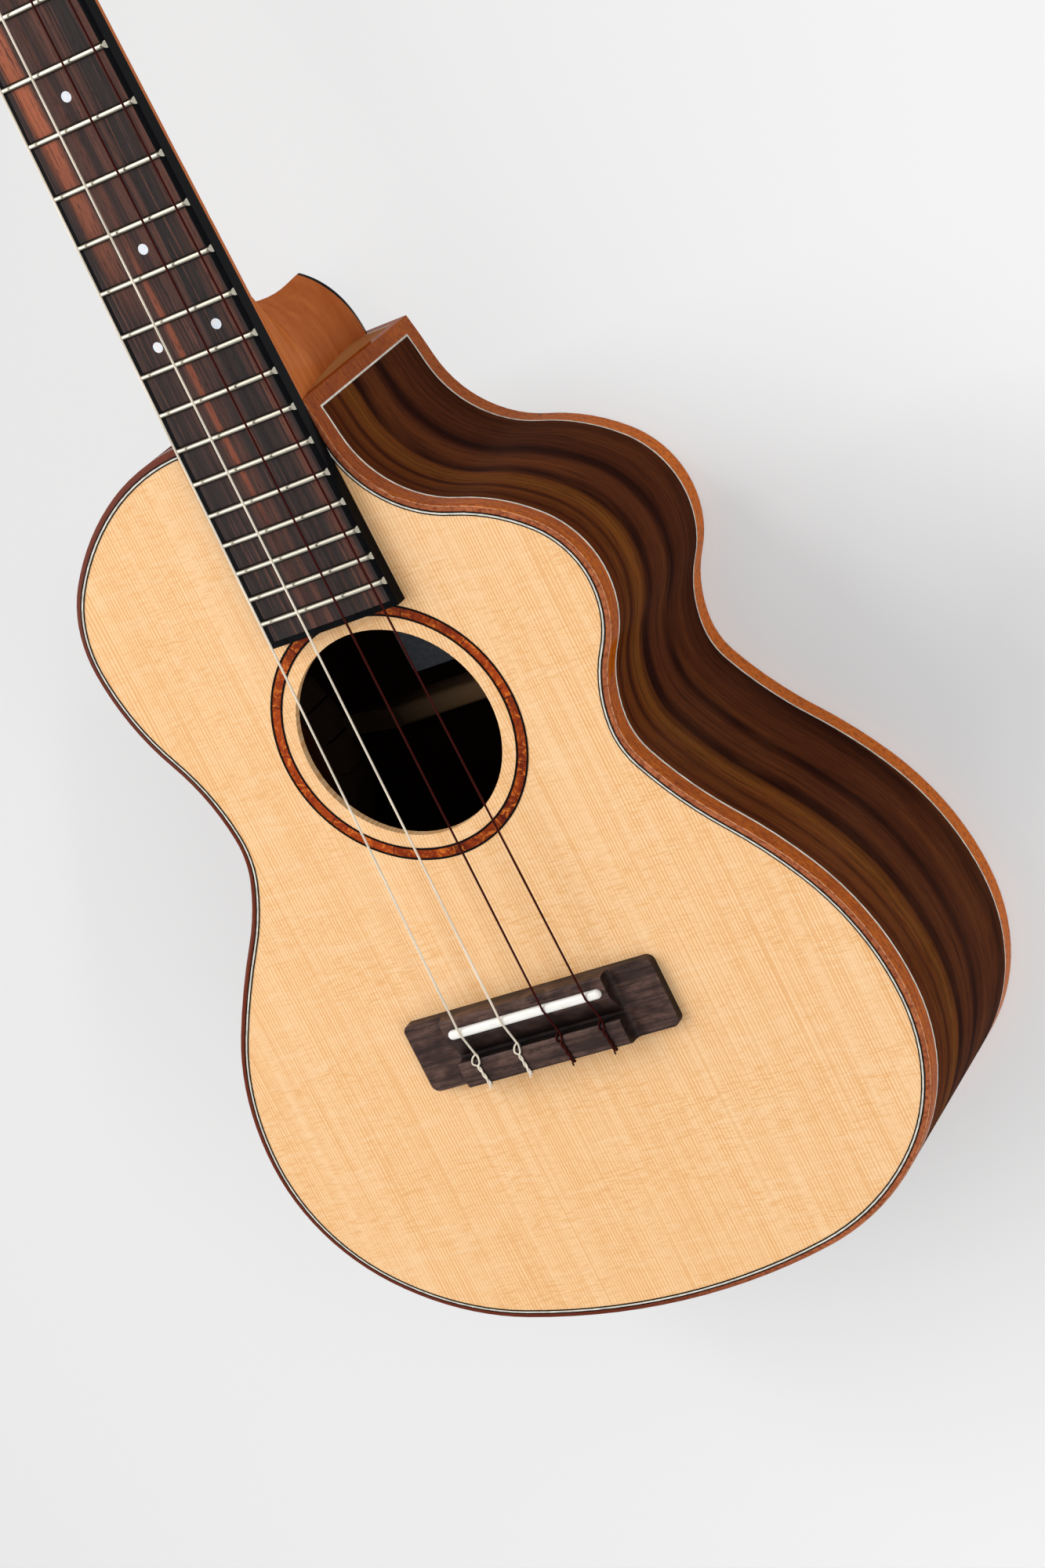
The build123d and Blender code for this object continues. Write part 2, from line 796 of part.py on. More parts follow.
def at_head(piece, v, side):
    """The piece in its place on the headstock, at v along it, on the treble (1) or bass (-1) side."""
    seat = Plane(
        origin=head.from_local_coords((post_x, v, -head_thickness)), x_dir=head.x_dir, z_dir=head.z_dir
    )
    placed = piece.moved(seat.location)
    return placed if side > 0 else placed.mirror(Plane.YZ)


# String order, from the treble side: near post, far post, far post, near post.
machine_spots = ((post_vs[0], 1), (post_vs[1], 1), (post_vs[1], -1), (post_vs[0], -1))
for number, (v, side) in enumerate(machine_spots, 1):
    save(at_head(post.part, v, side), f"tuner_post_{number}")
    save(at_head(winding.part, v, side), f"winding_{number}")
    save(at_head(worm.part, v, side), f"tuner_worm_{number}")
    save(at_head(button.part, v, side), f"tuner_button_{number}")


def all_heads(piece, name):
    """One copy of the piece at each machine, kept together as one group of solids."""
    with BuildPart() as group:
        for v, side in machine_spots:
            add(at_head(piece, v, side))
    save(group.part, name)
    return group.part


all_heads(tuner_plate.part, "tuner_plates")
all_heads(bushing.part, "tuner_bushings")
tuner_screws = all_heads(tuner_screw_pair.part, "tuner_screws")

# ---- Neck ------------------------------------------------------------------------------------
def shaft_section(y, depth):
    """The D shape of the neck at y."""
    half = half_width(y)
    with BuildSketch(across(y)) as section:
        with BuildLine():
            Line((half, 0), (-half, 0))
            flank = (neck_flank, -1)
            Spline((-half, 0), (0, -depth), (half, 0), tangents=(flank, (neck_flank, 1)))
        make_face()
    return section.sketch


def heel_section(depth, half, reach):
    """A level slice of the heel: flat at the body, with two round flanks that meet in a ridge."""
    with BuildSketch(deck.offset(-depth)) as section:
        with BuildLine():
            Line((half, 0), (-half, 0))
            flank = Spline((-half, 0), (0, reach), tangents=((0, 1), heel_ridge))
            mirror(flank, about=Plane.YZ)
        make_face()
    return section.sketch


def head_plan(start):
    """The headstock's outline from start, measured along the head from the nut's back."""
    with BuildSketch() as plan:
        with BuildLine():
            neck_line = Line((half_width_nut, start), (half_width_nut, 3))
            flare = Spline(
                neck_line @ 1, (head_wide, head_wide_v), tangents=((0, 1), (0, 1))
            )
            edge = Line(flare @ 1, (head_narrow, head_corner_v))
            ThreePointArc(edge @ 1, (0, head_length), (-head_narrow, head_corner_v))
            mirror(neck_line, about=Plane.YZ)
            mirror(flare, about=Plane.YZ)
            mirror(edge, about=Plane.YZ)
            Line((-half_width_nut, start), (half_width_nut, start))
        make_face()
        fillet(plan.vertices().group_by(Axis.Y)[-1], head_corner_round)
    return plan.sketch


# The heel's cap lies on a plane that rises towards the nut.
cap_floor = Plane(
    origin=deck.from_local_coords((0, 0, heel_floor_gap - depth_neck)),
    x_dir=deck.x_dir,
    z_dir=deck.z_dir - deck.y_dir * heel_cap_rise,
)
cap_top = cap_floor.offset(heel_cap_thickness)

with BuildPart() as shaft:
    add(shaft_section(nut_y + nut_length, neck_depth_nut))
    add(shaft_section(0, neck_depth_heel))
    loft()

with BuildPart() as whole_heel:
    for depth, half, reach in heel_sections:
        add(heel_section(depth, half, reach))
    loft()

with BuildPart() as heel_cap:
    add(whole_heel.part)
    split(bisect_by=cap_top, keep=Keep.BOTTOM)
    split(bisect_by=cap_floor, keep=Keep.TOP)
save(heel_cap.part, "heel_cap")

with BuildPart() as heel:
    add(whole_heel.part)
    split(bisect_by=cap_top, keep=Keep.TOP)

head_overlap = 3.0
outline = head_plan(-head_overlap)
post_spots = [(sign * post_x, v) for v in post_vs for sign in (-1, 1)]
with BuildPart() as neck:
    add(shaft.part)
    add(heel.part)
    with BuildSketch(head):
        add(outline)
    extrude(amount=-head_thickness)
    split(bisect_by=deck, keep=Keep.BOTTOM)
    with BuildSketch(deck.offset(-tenon_top)):
        with Locations((0, -tenon_length / 2)):
            Rectangle(2 * tenon_half, tenon_length)
    extrude(amount=-(tenon_bottom - tenon_top))
    with BuildSketch(head):
        with Locations(*post_spots):
            Circle(bushing_radius)
    extrude(amount=-head_thickness, mode=Mode.SUBTRACT)
    add(tuner_screws, mode=Mode.SUBTRACT)
save(neck.part, "neck")

veneer_outline = head_plan(0)
with BuildPart() as headstock_veneer:
    with BuildSketch(head):
        add(veneer_outline)
    extrude(amount=veneer_thickness)
    split(bisect_by=across(nut_y + nut_length), keep=Keep.TOP)
    with BuildSketch(head):
        with Locations(*post_spots):
            Circle(bushing_radius)
    extrude(amount=veneer_thickness, mode=Mode.SUBTRACT)
save(headstock_veneer.part, "headstock_veneer")


# ---- Fretboard -------------------------------------------------------------------------------
def board_plan(inset, low, high):
    """The fretboard's tapered plan between two places along the neck, drawn in by inset."""
    with BuildSketch() as plan:
        with BuildLine():
            Polyline(
                (half_width(low) - inset, low + inset), (half_width(high) - inset, high),
                (inset - half_width(high), high), (inset - half_width(low), low + inset), close=True,
            )
        make_face()
    return plan.sketch


blank_half = half_width(board_end_y) + 2
blank_edge = board_thickness - board_radius + math.sqrt(board_radius ** 2 - blank_half ** 2)
with BuildPart() as board_blank:
    with BuildSketch(across(board_end_y)):
        with BuildLine():
            Polyline((-blank_half, blank_edge), (-blank_half, 0), (blank_half, 0), (blank_half, blank_edge))
            ThreePointArc((blank_half, blank_edge), (0, board_thickness), (-blank_half, blank_edge))
        make_face()
    extrude(amount=nut_y - board_end_y)

board_outer = board_plan(0, board_end_y, nut_y)
board_inner = board_plan(board_binding, board_end_y, nut_y)
with BuildPart() as board_core:
    add(board_blank.part)
    with BuildSketch(deck):
        add(board_inner)
    extrude(amount=2 * board_thickness, mode=Mode.INTERSECT)

# Each crown turns about the axis of the board's radius, from one edge of the board to the other.
crown_turn = math.asin(blank_half / board_radius)
hub = Plane(
    origin=deck.from_local_coords((0, 0, board_thickness - board_radius)),
    x_dir=deck.y_dir,
    z_dir=deck.x_dir * math.cos(crown_turn) + deck.z_dir * math.sin(crown_turn),
)
with BuildPart() as frets:
    with BuildSketch(hub):
        for number in range(1, fret_count + 1):
            y = fret_y(number)
            with BuildLine():
                base = Line((y + fret_width / 2, board_radius), (y - fret_width / 2, board_radius))
                ThreePointArc(base @ 1, (y, board_radius + fret_height), base @ 0)
            make_face()
    revolve(axis=Axis(hub.origin, deck.y_dir), revolution_arc=2 * math.degrees(crown_turn))
    with BuildSketch(deck.offset(blank_edge)):
        add(board_plan(0, board_end_y - 5, nut_y + 5))
    extrude(amount=2 * fret_height + board_thickness, taper=fret_end_bevel, mode=Mode.INTERSECT)
    with BuildSketch(deck.offset(board_thickness - fret_tang_depth)):
        for number in range(1, fret_count + 1):
            y = fret_y(number)
            with Locations((0, y)):
                Rectangle(2 * (half_width(y) - board_binding - tang_gap), fret_tang)
    extrude(amount=fret_tang_depth)
save(frets.part, "frets")

dot_spots = [
    (0, (fret_y(number) + fret_y(number - 1)) / 2) for number in (5, 7, 10)
] + [(side * octave_dot_x, (fret_y(12) + fret_y(11)) / 2) for side in (-1, 1)]
with BuildPart() as position_dots:
    add(board_core.part)
    with BuildSketch(deck.offset(board_thickness - dot_depth)):
        with Locations(*dot_spots):
            Circle(dot_radius)
    extrude(amount=2 * dot_depth, mode=Mode.INTERSECT)
save(position_dots.part, "position_dots")

with BuildPart() as fretboard:
    add(board_core.part)
    add(frets.part, mode=Mode.SUBTRACT)
    add(position_dots.part, mode=Mode.SUBTRACT)
save(fretboard.part, "fretboard")

with BuildPart() as board_edge:
    add(board_blank.part)
    with BuildSketch(deck):
        add(board_outer)
        add(board_inner, mode=Mode.SUBTRACT)
    extrude(amount=2 * board_thickness, mode=Mode.INTERSECT)

with BuildPart() as side_dots:
    add(board_edge.part)
    with BuildSketch(beside(-half_width(0))):
        with Locations(*[((fret_y(n) + fret_y(n - 1)) / 2, board_thickness / 2) for n in (5, 7, 10, 12)]):
            Circle(side_dot_radius)
    extrude(amount=board_binding + 2, both=True, mode=Mode.INTERSECT)
save(side_dots.part, "side_dots")

with BuildPart() as fretboard_binding:
    add(board_edge.part)
    add(side_dots.part, mode=Mode.SUBTRACT)
save(fretboard_binding.part, "fretboard_binding")


# ---- Strings ---------------------------------------------------------------------------------
def string_path(number):
    """The points of a string on the deck's axes, from its loop on the tie block to its post."""
    step = 1.5 - number
    side = 1 if step > 0 else -1
    x_saddle = step * string_pitch_saddle
    x_nut = step * string_pitch_nut
    lift = saddle_top + string_radius
    rear = bridge_back_y - loop_gap - string_radius
    over = tie_top + loop_gap + string_radius
    post_v = post_vs[0] if abs(step) > 1 else post_vs[1]
    reach = post_waist + 2 * string_radius + string_end_gap + string_radius
    height = veneer_thickness + winding_height

    def on_head(u, v):
        local = deck.to_local_coords(head.from_local_coords((u, v, height)))
        return (local.X, local.Y, local.Z)

    return [
        (x_saddle + side * loop_lean, tie_front_y + string_radius, over),
        (x_saddle + side * loop_lean / 2, rear, over),
        (x_saddle, rear, tie_hole_z),
        (x_saddle, tie_front_y + string_radius, tie_hole_z),
        (x_saddle, saddle_y, lift),
        (x_nut, nut_y, nut_top),
        (x_nut, nut_y + nut_length, nut_top - nut_tail_drop / 4),
        on_head(side * (post_x - reach), post_v - 3 * reach),
        on_head(side * (post_x - reach), post_v + reach),
        on_head(side * (post_x - string_radius), post_v + reach),
    ]


strings = []
for number in range(4):
    points = string_path(number)
    with BuildPart() as string:
        with BuildLine(deck) as path:
            FilletPolyline(*points, radius=string_bends)
        with BuildSketch(Plane(origin=path.line @ 0, z_dir=path.line % 0)):
            Circle(string_radius)
        sweep(path=path.line)
    strings.append(string.part)
    save(string.part, f"string_{number + 1}")
    length = sum(edge.length for edge in path.line.edges())
    filled = string.part.volume / (math.pi * string_radius ** 2 * length)
    print(f"string {number + 1}: length {length:.1f}, volume against section times length {filled:.4f}")

with BuildPart() as nut:
    with BuildSketch(beside(0)):
        with BuildLine():
            Polyline(
                (nut_y, 0), (nut_y + nut_length, 0), (nut_y + nut_length, nut_top - nut_tail_drop),
                (nut_y + nut_length / 3, nut_top), (nut_y, nut_top), close=True,
            )
        make_face()
    extrude(amount=half_width_nut, both=True)
    for string in strings:
        add(string, mode=Mode.SUBTRACT)
save(nut.part, "nut")

# ---- Bridge and saddle -----------------------------------------------------------------------
land_end_y = saddle_y - saddle_width / 2 - saddle_lip
with BuildPart() as bridge:
    with BuildSketch(beside(0)):
        with BuildLine():
            Polyline(
                (bridge_front_y, 0), (bridge_front_y - bridge_front_lean, land_top - bridge_edge),
                (bridge_front_y - bridge_front_lean - bridge_edge, land_top), (land_end_y, land_top),
            )
            Polyline(
                (land_end_y, land_top), (tie_front_y + channel_length, channel_floor),
                (tie_front_y, channel_floor), (tie_front_y, tie_top - tie_chamfer),
                (tie_front_y - tie_chamfer, tie_top), (bridge_back_y + back_edge, tie_top),
            )
            back_round = Spline(
                (bridge_back_y + back_edge, tie_top), (bridge_back_y, tie_top - back_edge),
                tangents=((-1, 0), (0, -1)),
            )
            Line(back_round @ 1, (bridge_back_y, 0))
            Line((bridge_back_y, 0), (bridge_front_y, 0))
        make_face()
    extrude(amount=bridge_half, both=True)
    with BuildSketch(across(bridge_front_y + 5)):
        with BuildLine():
            bottom = Line((-bridge_half, 0), (bridge_half, 0))
            Line(bottom @ 1, (bridge_half, bridge_wing))
            foot = bridge_center_half + bridge_scoop
            Line((bridge_half, bridge_wing), (foot, bridge_wing))
            scoop = Spline(
                (foot, bridge_wing), (bridge_center_half, tie_top + 1), tangents=((-1, 0), (-0.05, 1))
            )
            Line(scoop @ 1, (-bridge_center_half, tie_top + 1))
            mirror(scoop, about=Plane.YZ)
            Line((-foot, bridge_wing), (-bridge_half, bridge_wing))
            Line((-bridge_half, bridge_wing), bottom @ 0)
        make_face()
    extrude(amount=-40, mode=Mode.INTERSECT)
    with BuildSketch(deck):
        with Locations((0, bridge_middle_y)):
            RectangleRounded(2 * bridge_half, bridge_front_y - bridge_back_y, bridge_corner)
    extrude(amount=2 * tie_top, mode=Mode.INTERSECT)
    with BuildSketch(deck.offset(saddle_floor)):
        with Locations((0, saddle_y)):
            SlotOverall(2 * saddle_half, saddle_width)
    extrude(amount=2 * tie_top, mode=Mode.SUBTRACT)
    with BuildSketch(across(tie_front_y + 0.5)):
        with Locations(*[((place - 1.5) * string_pitch_saddle, tie_hole_z) for place in range(4)]):
            Circle(tie_hole_radius)
    extrude(amount=-20, mode=Mode.SUBTRACT)
save(bridge.part, "bridge")

with BuildPart() as saddle:
    with BuildSketch(deck.offset(saddle_floor)):
        with Locations((0, saddle_y)):
            SlotOverall(2 * saddle_half, saddle_width)
    extrude(amount=saddle_top - saddle_floor)
    fillet(saddle.faces().filter_by(deck).sort_by(Axis.Z)[-1].edges(), saddle_round)
    for string in strings:
        add(string, mode=Mode.SUBTRACT)
save(saddle.part, "saddle")
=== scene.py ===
import math

import bpy
from mathutils import Matrix, Vector


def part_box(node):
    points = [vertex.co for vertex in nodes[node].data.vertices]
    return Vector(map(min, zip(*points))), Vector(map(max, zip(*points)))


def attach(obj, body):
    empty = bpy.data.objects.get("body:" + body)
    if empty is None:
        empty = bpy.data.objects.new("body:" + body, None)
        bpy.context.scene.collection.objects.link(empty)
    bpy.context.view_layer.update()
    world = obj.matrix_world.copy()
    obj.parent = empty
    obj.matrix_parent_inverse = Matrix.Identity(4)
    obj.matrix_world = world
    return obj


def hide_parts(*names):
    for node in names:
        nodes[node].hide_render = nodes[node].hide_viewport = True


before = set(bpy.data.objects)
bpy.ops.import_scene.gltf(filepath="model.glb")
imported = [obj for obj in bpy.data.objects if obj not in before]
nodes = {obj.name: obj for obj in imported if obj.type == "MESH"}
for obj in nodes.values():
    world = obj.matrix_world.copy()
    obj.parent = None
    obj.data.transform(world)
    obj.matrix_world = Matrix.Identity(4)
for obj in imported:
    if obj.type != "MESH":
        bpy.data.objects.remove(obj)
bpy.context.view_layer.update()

# ---- Camera ------------------------------------------------------------------------------------
# The place and the view of the photograph, in the row frame, in metres.
camera_place = Vector((0.61840, 0.34917, 1.02645))
camera_right = Vector((0.82158, -0.44504, -0.35629)).normalized()
camera_forward = Vector((-0.50597, -0.28127, -0.81540)).normalized()
camera_up = camera_right.cross(camera_forward)

camera_data = bpy.data.cameras.new("camera")
camera_data.sensor_width = 36.0
camera_data.lens = 91.776
camera_data.clip_start = 0.05
camera_data.clip_end = 50.0
camera = bpy.data.objects.new("camera", camera_data)
bpy.context.scene.collection.objects.link(camera)
turn = Matrix((camera_right, camera_up, -camera_forward)).transposed().to_4x4()
camera.matrix_world = Matrix.Translation(camera_place) @ turn
bpy.context.scene.camera = camera
bpy.context.scene.view_settings.view_transform = "Standard"


# ---- Shader helpers ----------------------------------------------------------------------------
def colour(red, green, blue):
    """A colour as it shows on the screen, 0 to 255, as the linear value a shader takes."""
    linear = []
    for value in (red, green, blue):
        value = value / 255
        linear.append(value / 12.92 if value <= 0.04045 else ((value + 0.055) / 1.055) ** 2.4)
    return (*linear, 1.0)


class Finish:
    """One material with a Principled shader, and short ways to add nodes to it."""

    def __init__(self, name):
        self.material = bpy.data.materials.new(name)
        self.material.use_nodes = True
        self.tree = self.material.node_tree
        self.tree.nodes.clear()
        self.shader = self.add("ShaderNodeBsdfPrincipled")
        output = self.add("ShaderNodeOutputMaterial")
        self.tree.links.new(self.shader.outputs[0], output.inputs[0])

    def add(self, kind, values=(), **settings):
        """Adds a node. values gives its inputs by name or number, as constants or other sockets."""
        node = self.tree.nodes.new(kind)
        for name, value in settings.items():
            setattr(node, name, value)
        for name, value in dict(values).items():
            self.join(node.inputs[name], value)
        return node

    def join(self, socket, value):
        """Sets an input to a constant, or links it to another node's output."""
        if isinstance(value, bpy.types.NodeSocket):
            self.tree.links.new(value, socket)
        else:
            socket.default_value = value

    def set(self, **values):
        """Sets the shader's own inputs, with _ for the spaces in their names."""
        for name, value in values.items():
            self.join(self.shader.inputs[name.replace("_", " ")], value)

    def place(self, scale, tilt=0.0, warp=0.0, warp_scale=(0, 0, 0)):
        """Coordinates in metres times scale, tilted to the deck, with a slow waver of warp metres."""
        coordinates = self.add("ShaderNodeTexCoord").outputs["Object"]
        level = self.add("ShaderNodeMapping", {"Vector": coordinates, "Rotation": (tilt, 0, 0)})
        vector = level.outputs[0]
        if warp:
            slow = self.add("ShaderNodeMapping", {"Vector": vector, "Scale": warp_scale})
            waver = self.add(
                "ShaderNodeTexNoise", {"Vector": slow.outputs[0], "Scale": 1.0, "Detail": 2.0}
            )
            centred = self.add(
                "ShaderNodeVectorMath",
                {0: waver.outputs["Color"], 1: (0.5, 0.5, 0.5)},
                operation="SUBTRACT",
            )
            shift = self.add("ShaderNodeVectorMath", {0: centred.outputs[0], 3: warp}, operation="SCALE")
            moved = self.add("ShaderNodeVectorMath", {0: vector, 1: shift.outputs[0]}, operation="ADD")
            vector = moved.outputs[0]
        return self.add("ShaderNodeMapping", {"Vector": vector, "Scale": scale}).outputs[0]

    def rings(self, vector):
        """Fine even rings across the first axis of the coordinates, from 0 to 1."""
        texture = self.add(
            "ShaderNodeTexWave",
            {"Vector": vector, "Scale": 1.0, "Distortion": 3.0, "Detail": 3.0, "Detail Scale": 0.6,
             "Detail Roughness": 0.6},
            bands_direction="X", wave_profile="SIN",
        )
        return texture.outputs["Fac"]

    def noise(self, vector, detail=4.0, roughness=0.55, distortion=0.0):
        """A noise value from 0 to 1 at the coordinates."""
        texture = self.add(
            "ShaderNodeTexNoise",
            {"Vector": vector, "Scale": 1.0, "Detail": detail, "Roughness": roughness,
             "Distortion": distortion},
        )
        return texture.outputs[0]

    def ramp(self, value, stops):
        """A colour for each value: stops are (place, colour) pairs."""
        node = self.add("ShaderNodeValToRGB", {0: value})
        elements = node.color_ramp.elements
        while len(elements) < len(stops):
            elements.new(0.5)
        for element, (place, shade) in zip(elements, stops):
            element.position = place
            element.color = shade
        return node.outputs[0]

    def grey(self, value, stops):
        """A number for each value: stops are (place, number) pairs."""
        return self.ramp(value, [(place, (level, level, level, 1.0)) for place, level in stops])

    def mix(self, factor, first, second):
        """Two colours mixed by factor."""
        node = self.add("ShaderNodeMix", data_type="RGBA")
        self.join(node.inputs[0], factor)
        self.join(node.inputs[6], first)
        self.join(node.inputs[7], second)
        return node.outputs[2]

    def maths(self, operation, first, second=0.0):
        """A sum, product and so on of two numbers. Some operations take the first one alone."""
        return self.add("ShaderNodeMath", {0: first, 1: second}, operation=operation).outputs[0]

    def axes(self, vector):
        """The three numbers of a vector."""
        return self.add("ShaderNodeSeparateXYZ", {0: vector}).outputs

    def facing(self):
        """The three numbers of the direction that a face looks in."""
        return self.axes(self.add("ShaderNodeNewGeometry").outputs["Normal"])

    def relief(self, height, distance, strength, edge=0.0):
        """Bumps of the height, in metres, and softly rounded edges of radius edge."""
        bump = self.add("ShaderNodeBump", {"Height": height, "Distance": distance, "Strength": strength})
        if edge:
            soft = self.add("ShaderNodeBevel", {"Radius": edge}, samples=4)
            self.join(bump.inputs["Normal"], soft.outputs[0])
        self.join(self.shader.inputs["Normal"], bump.outputs[0])

    def soften(self, edge):
        """Softly rounded edges of radius edge, with no bumps."""
        soft = self.add("ShaderNodeBevel", {"Radius": edge}, samples=4)
        self.join(self.shader.inputs["Normal"], soft.outputs[0])


# ---- The frame of the soundboard ---------------------------------------------------------------
# The deck is the soundboard's plane. It starts at the neck joint and rises towards the tail. These
# sizes of the sound box are in millimetres.
body_length = 301.2
depth_neck = 74.0
depth_tail = 86.0
deck_tilt = math.atan((depth_tail - depth_neck) / body_length)
deck_origin = Vector((0, body_length / 2000, depth_neck / 1000))
deck_turn = Matrix.Rotation(-deck_tilt, 4, "X")
deck_height = (deck_turn.inverted() @ deck_origin).z
deck_frame = Matrix.Translation(deck_origin) @ deck_turn


def on_deck(x, y, z):
    """A place in millimetres on the deck's axes, as a point in metres in the row frame."""
    return deck_frame @ Vector((x / 1000, y / 1000, z / 1000))


# ---- Materials ---------------------------------------------------------------------------------
def spruce():
    """Pale spruce with fine rings along the neck's direction and silk across them."""
    t = Finish("spruce_top")
    rings = t.rings(t.place((290, 3.5, 30), deck_tilt, 0.006, (30, 1.5, 10)))
    group = t.noise(t.place((170, 1.2, 10), deck_tilt, 0.003, (10, 4, 10)), detail=3.0, roughness=0.6)
    hair = t.noise(t.place((1500, 9, 60), deck_tilt, 0.0008, (20, 8, 10)), detail=3.0, roughness=0.6)
    silk = t.noise(t.place((210, 1500, 60), deck_tilt, 0.0024, (40, 30, 10)), detail=2.0, roughness=0.6)
    where = t.noise(t.place((30, 60, 10), deck_tilt, 0.004, (30, 30, 10)), detail=3.0)
    shine = t.noise(t.place((60, 420, 30), deck_tilt, 0.004, (30, 30, 10)), detail=3.0)
    patch = t.noise(t.place((9, 3, 10), deck_tilt), detail=2.0)
    base = t.ramp(patch, [(0.3, colour(250, 206, 153)), (0.7, colour(253, 211, 162))])
    lines = t.maths(
        "MULTIPLY", t.grey(rings, [(0.50, 0.0), (1.0, 1.0)]), t.grey(group, [(0.38, 0.4), (0.58, 1.0)])
    )
    base = t.mix(lines, base, colour(231, 167, 100))
    base = t.mix(t.grey(hair, [(0.50, 0.0), (0.70, 0.6)]), base, colour(230, 168, 102))
    cross = t.maths(
        "MULTIPLY", t.grey(silk, [(0.48, 0.0), (0.64, 0.8)]), t.grey(where, [(0.38, 0.3), (0.64, 0.85)])
    )
    base = t.mix(cross, base, colour(232, 171, 106))
    base = t.mix(t.grey(shine, [(0.52, 0.0), (0.72, 0.2)]), base, colour(255, 228, 186))
    t.set(Base_Color=base, Roughness=0.45, Specular_IOR_Level=0.2, Coat_Weight=0.05, Coat_Roughness=0.25)
    t.relief(t.maths("ADD", rings, silk), 0.00003, 0.3)
    return t.material


# The bands of the rosewood, as (place, colour) from 0 to 1 across them.
rosewood_bands = [
    (0.00, (64, 26, 9)), (0.08, (78, 36, 12)), (0.115, (88, 42, 15)), (0.13, (62, 24, 9)),
    (0.15, (94, 47, 18)), (0.19, (98, 51, 19)), (0.215, (54, 20, 9)), (0.235, (96, 49, 18)),
    (0.29, (114, 66, 24)), (0.34, (98, 52, 19)), (0.36, (38, 13, 7)), (0.40, (40, 14, 8)),
    (0.44, (84, 42, 21)), (0.53, (86, 44, 23)), (0.57, (50, 20, 11)), (0.60, (34, 12, 8)),
    (0.635, (72, 34, 17)), (0.75, (86, 44, 23)), (0.85, (68, 32, 16)), (0.90, (46, 19, 10)),
    (1.00, (66, 31, 15)),
]


def rosewood(name, across, along, coat):
    """Dark rosewood with bands, and fine lines that run the same way.

    across(t) gives the place within the bands, from 0 to 1. along(low, high) gives the scale of a noise
    that is low along the grain and high across it.
    """
    t = Finish(name)
    slow = t.noise(t.place((6, 6, 14), deck_tilt), detail=2.0, roughness=0.5)
    ragged = t.noise(t.place(along(26, 260), deck_tilt, 0.002, (20, 20, 20)), detail=4.0, roughness=0.6)
    drift = t.maths("MULTIPLY", t.maths("SUBTRACT", slow, 0.5), 0.16)
    fray = t.maths("MULTIPLY", t.maths("SUBTRACT", ragged, 0.5), 0.03)
    bands = t.maths("ADD", t.maths("ADD", across(t), drift), fray)
    base = t.ramp(bands, [(place, colour(*shade)) for place, shade in rosewood_bands])
    thin = t.noise(t.place(along(7, 620), deck_tilt, 0.003, (14, 14, 20)), detail=5.0, roughness=0.65)
    pores = t.noise(t.place(along(90, 2600), deck_tilt, 0.001, (30, 30, 30)), detail=3.0, roughness=0.7)
    glow = t.noise(t.place(along(14, 90), deck_tilt, 0.004, (20, 20, 20)), detail=3.0)
    painted_sheen = t.noise(t.place((24, 24, 6), deck_tilt), detail=2.0)
    base = t.mix(t.grey(thin, [(0.46, 0.0), (0.64, 0.5)]), base, colour(42, 18, 10))
    base = t.mix(t.grey(glow, [(0.50, 0.0), (0.74, 0.35)]), base, colour(136, 74, 36))
    # Painted sheen: soft paler patches stand in for reflections on the lacquer.
    base = t.mix(t.grey(painted_sheen, [(0.50, 0.0), (0.72, 0.12)]), base, colour(126, 80, 54))
    base = t.mix(t.grey(pores, [(0.36, 0.6), (0.47, 0.0)]), base, colour(22, 9, 5))
    t.set(Base_Color=base, Roughness=0.5, Specular_IOR_Level=0.0, Coat_Weight=coat, Coat_Roughness=0.15)
    t.relief(pores, 0.00003, 0.2)
    return t


def deck_depth(t):
    """How far down from the soundboard to the back a place is, from 0 to 1."""
    banded_depth = 0.080
    local = t.axes(t.place((1, 1, 1), deck_tilt))
    return t.add(
        "ShaderNodeMapRange",
        {"Value": local[2], "From Min": deck_height, "From Max": deck_height - banded_depth,
         "To Min": 0.0, "To Max": 1.0},
    ).outputs[0]


def from_centre(t):
    """How far out from the centreline a place on the back is, as the bands of two matched halves."""
    parts = t.axes(t.add("ShaderNodeTexCoord").outputs["Object"])
    half = t.maths("ABSOLUTE", parts[0])
    return t.maths("ADD", t.maths("MULTIPLY", half, 8.0), 0.05)


def side_rosewood():
    """Glossy sides: the bands follow the rim. The flat end behind the heel lies in shade, and is painted
    a lighter brown as painted light.
    """
    t = rosewood("side_rosewood", deck_depth, lambda low, high: (low, low, high), 0.03)
    shown = t.shader.inputs["Base Color"].links[0].from_socket
    parts = t.axes(t.place((1, 1, 1), deck_tilt))
    end_half_width = 0.0212
    end_y = 0.1475 * math.cos(deck_tilt)
    # Painted light: the shaded flat end behind the heel is painted a lighter brown with its own grain.
    near_heel = t.maths("LESS_THAN", t.maths("ABSOLUTE", parts[0]), end_half_width)
    at_end = t.maths("GREATER_THAN", parts[1], end_y)
    grain = t.noise(t.place((260, 260, 9), deck_tilt), detail=4.0, roughness=0.6)
    wood = t.ramp(grain, [(0.3, colour(158, 104, 60)), (0.7, colour(182, 126, 76))])
    t.set(Base_Color=t.mix(t.maths("MULTIPLY", near_heel, at_end), shown, wood))
    return t.material


def back_rosewood():
    """The back: matched halves, glossy outside, with its inner face painted near black as painted shade.
    """
    t = rosewood("back_rosewood", from_centre, lambda low, high: (high, low, low), 0.05)
    shown = t.shader.inputs["Base Color"].links[0].from_socket
    # Painted shade: the face turned up into the box is painted near black.
    inner = t.maths("GREATER_THAN", t.facing()[2], 0.5)
    t.set(Base_Color=t.mix(inner, shown, colour(30, 17, 11)))
    return t.material


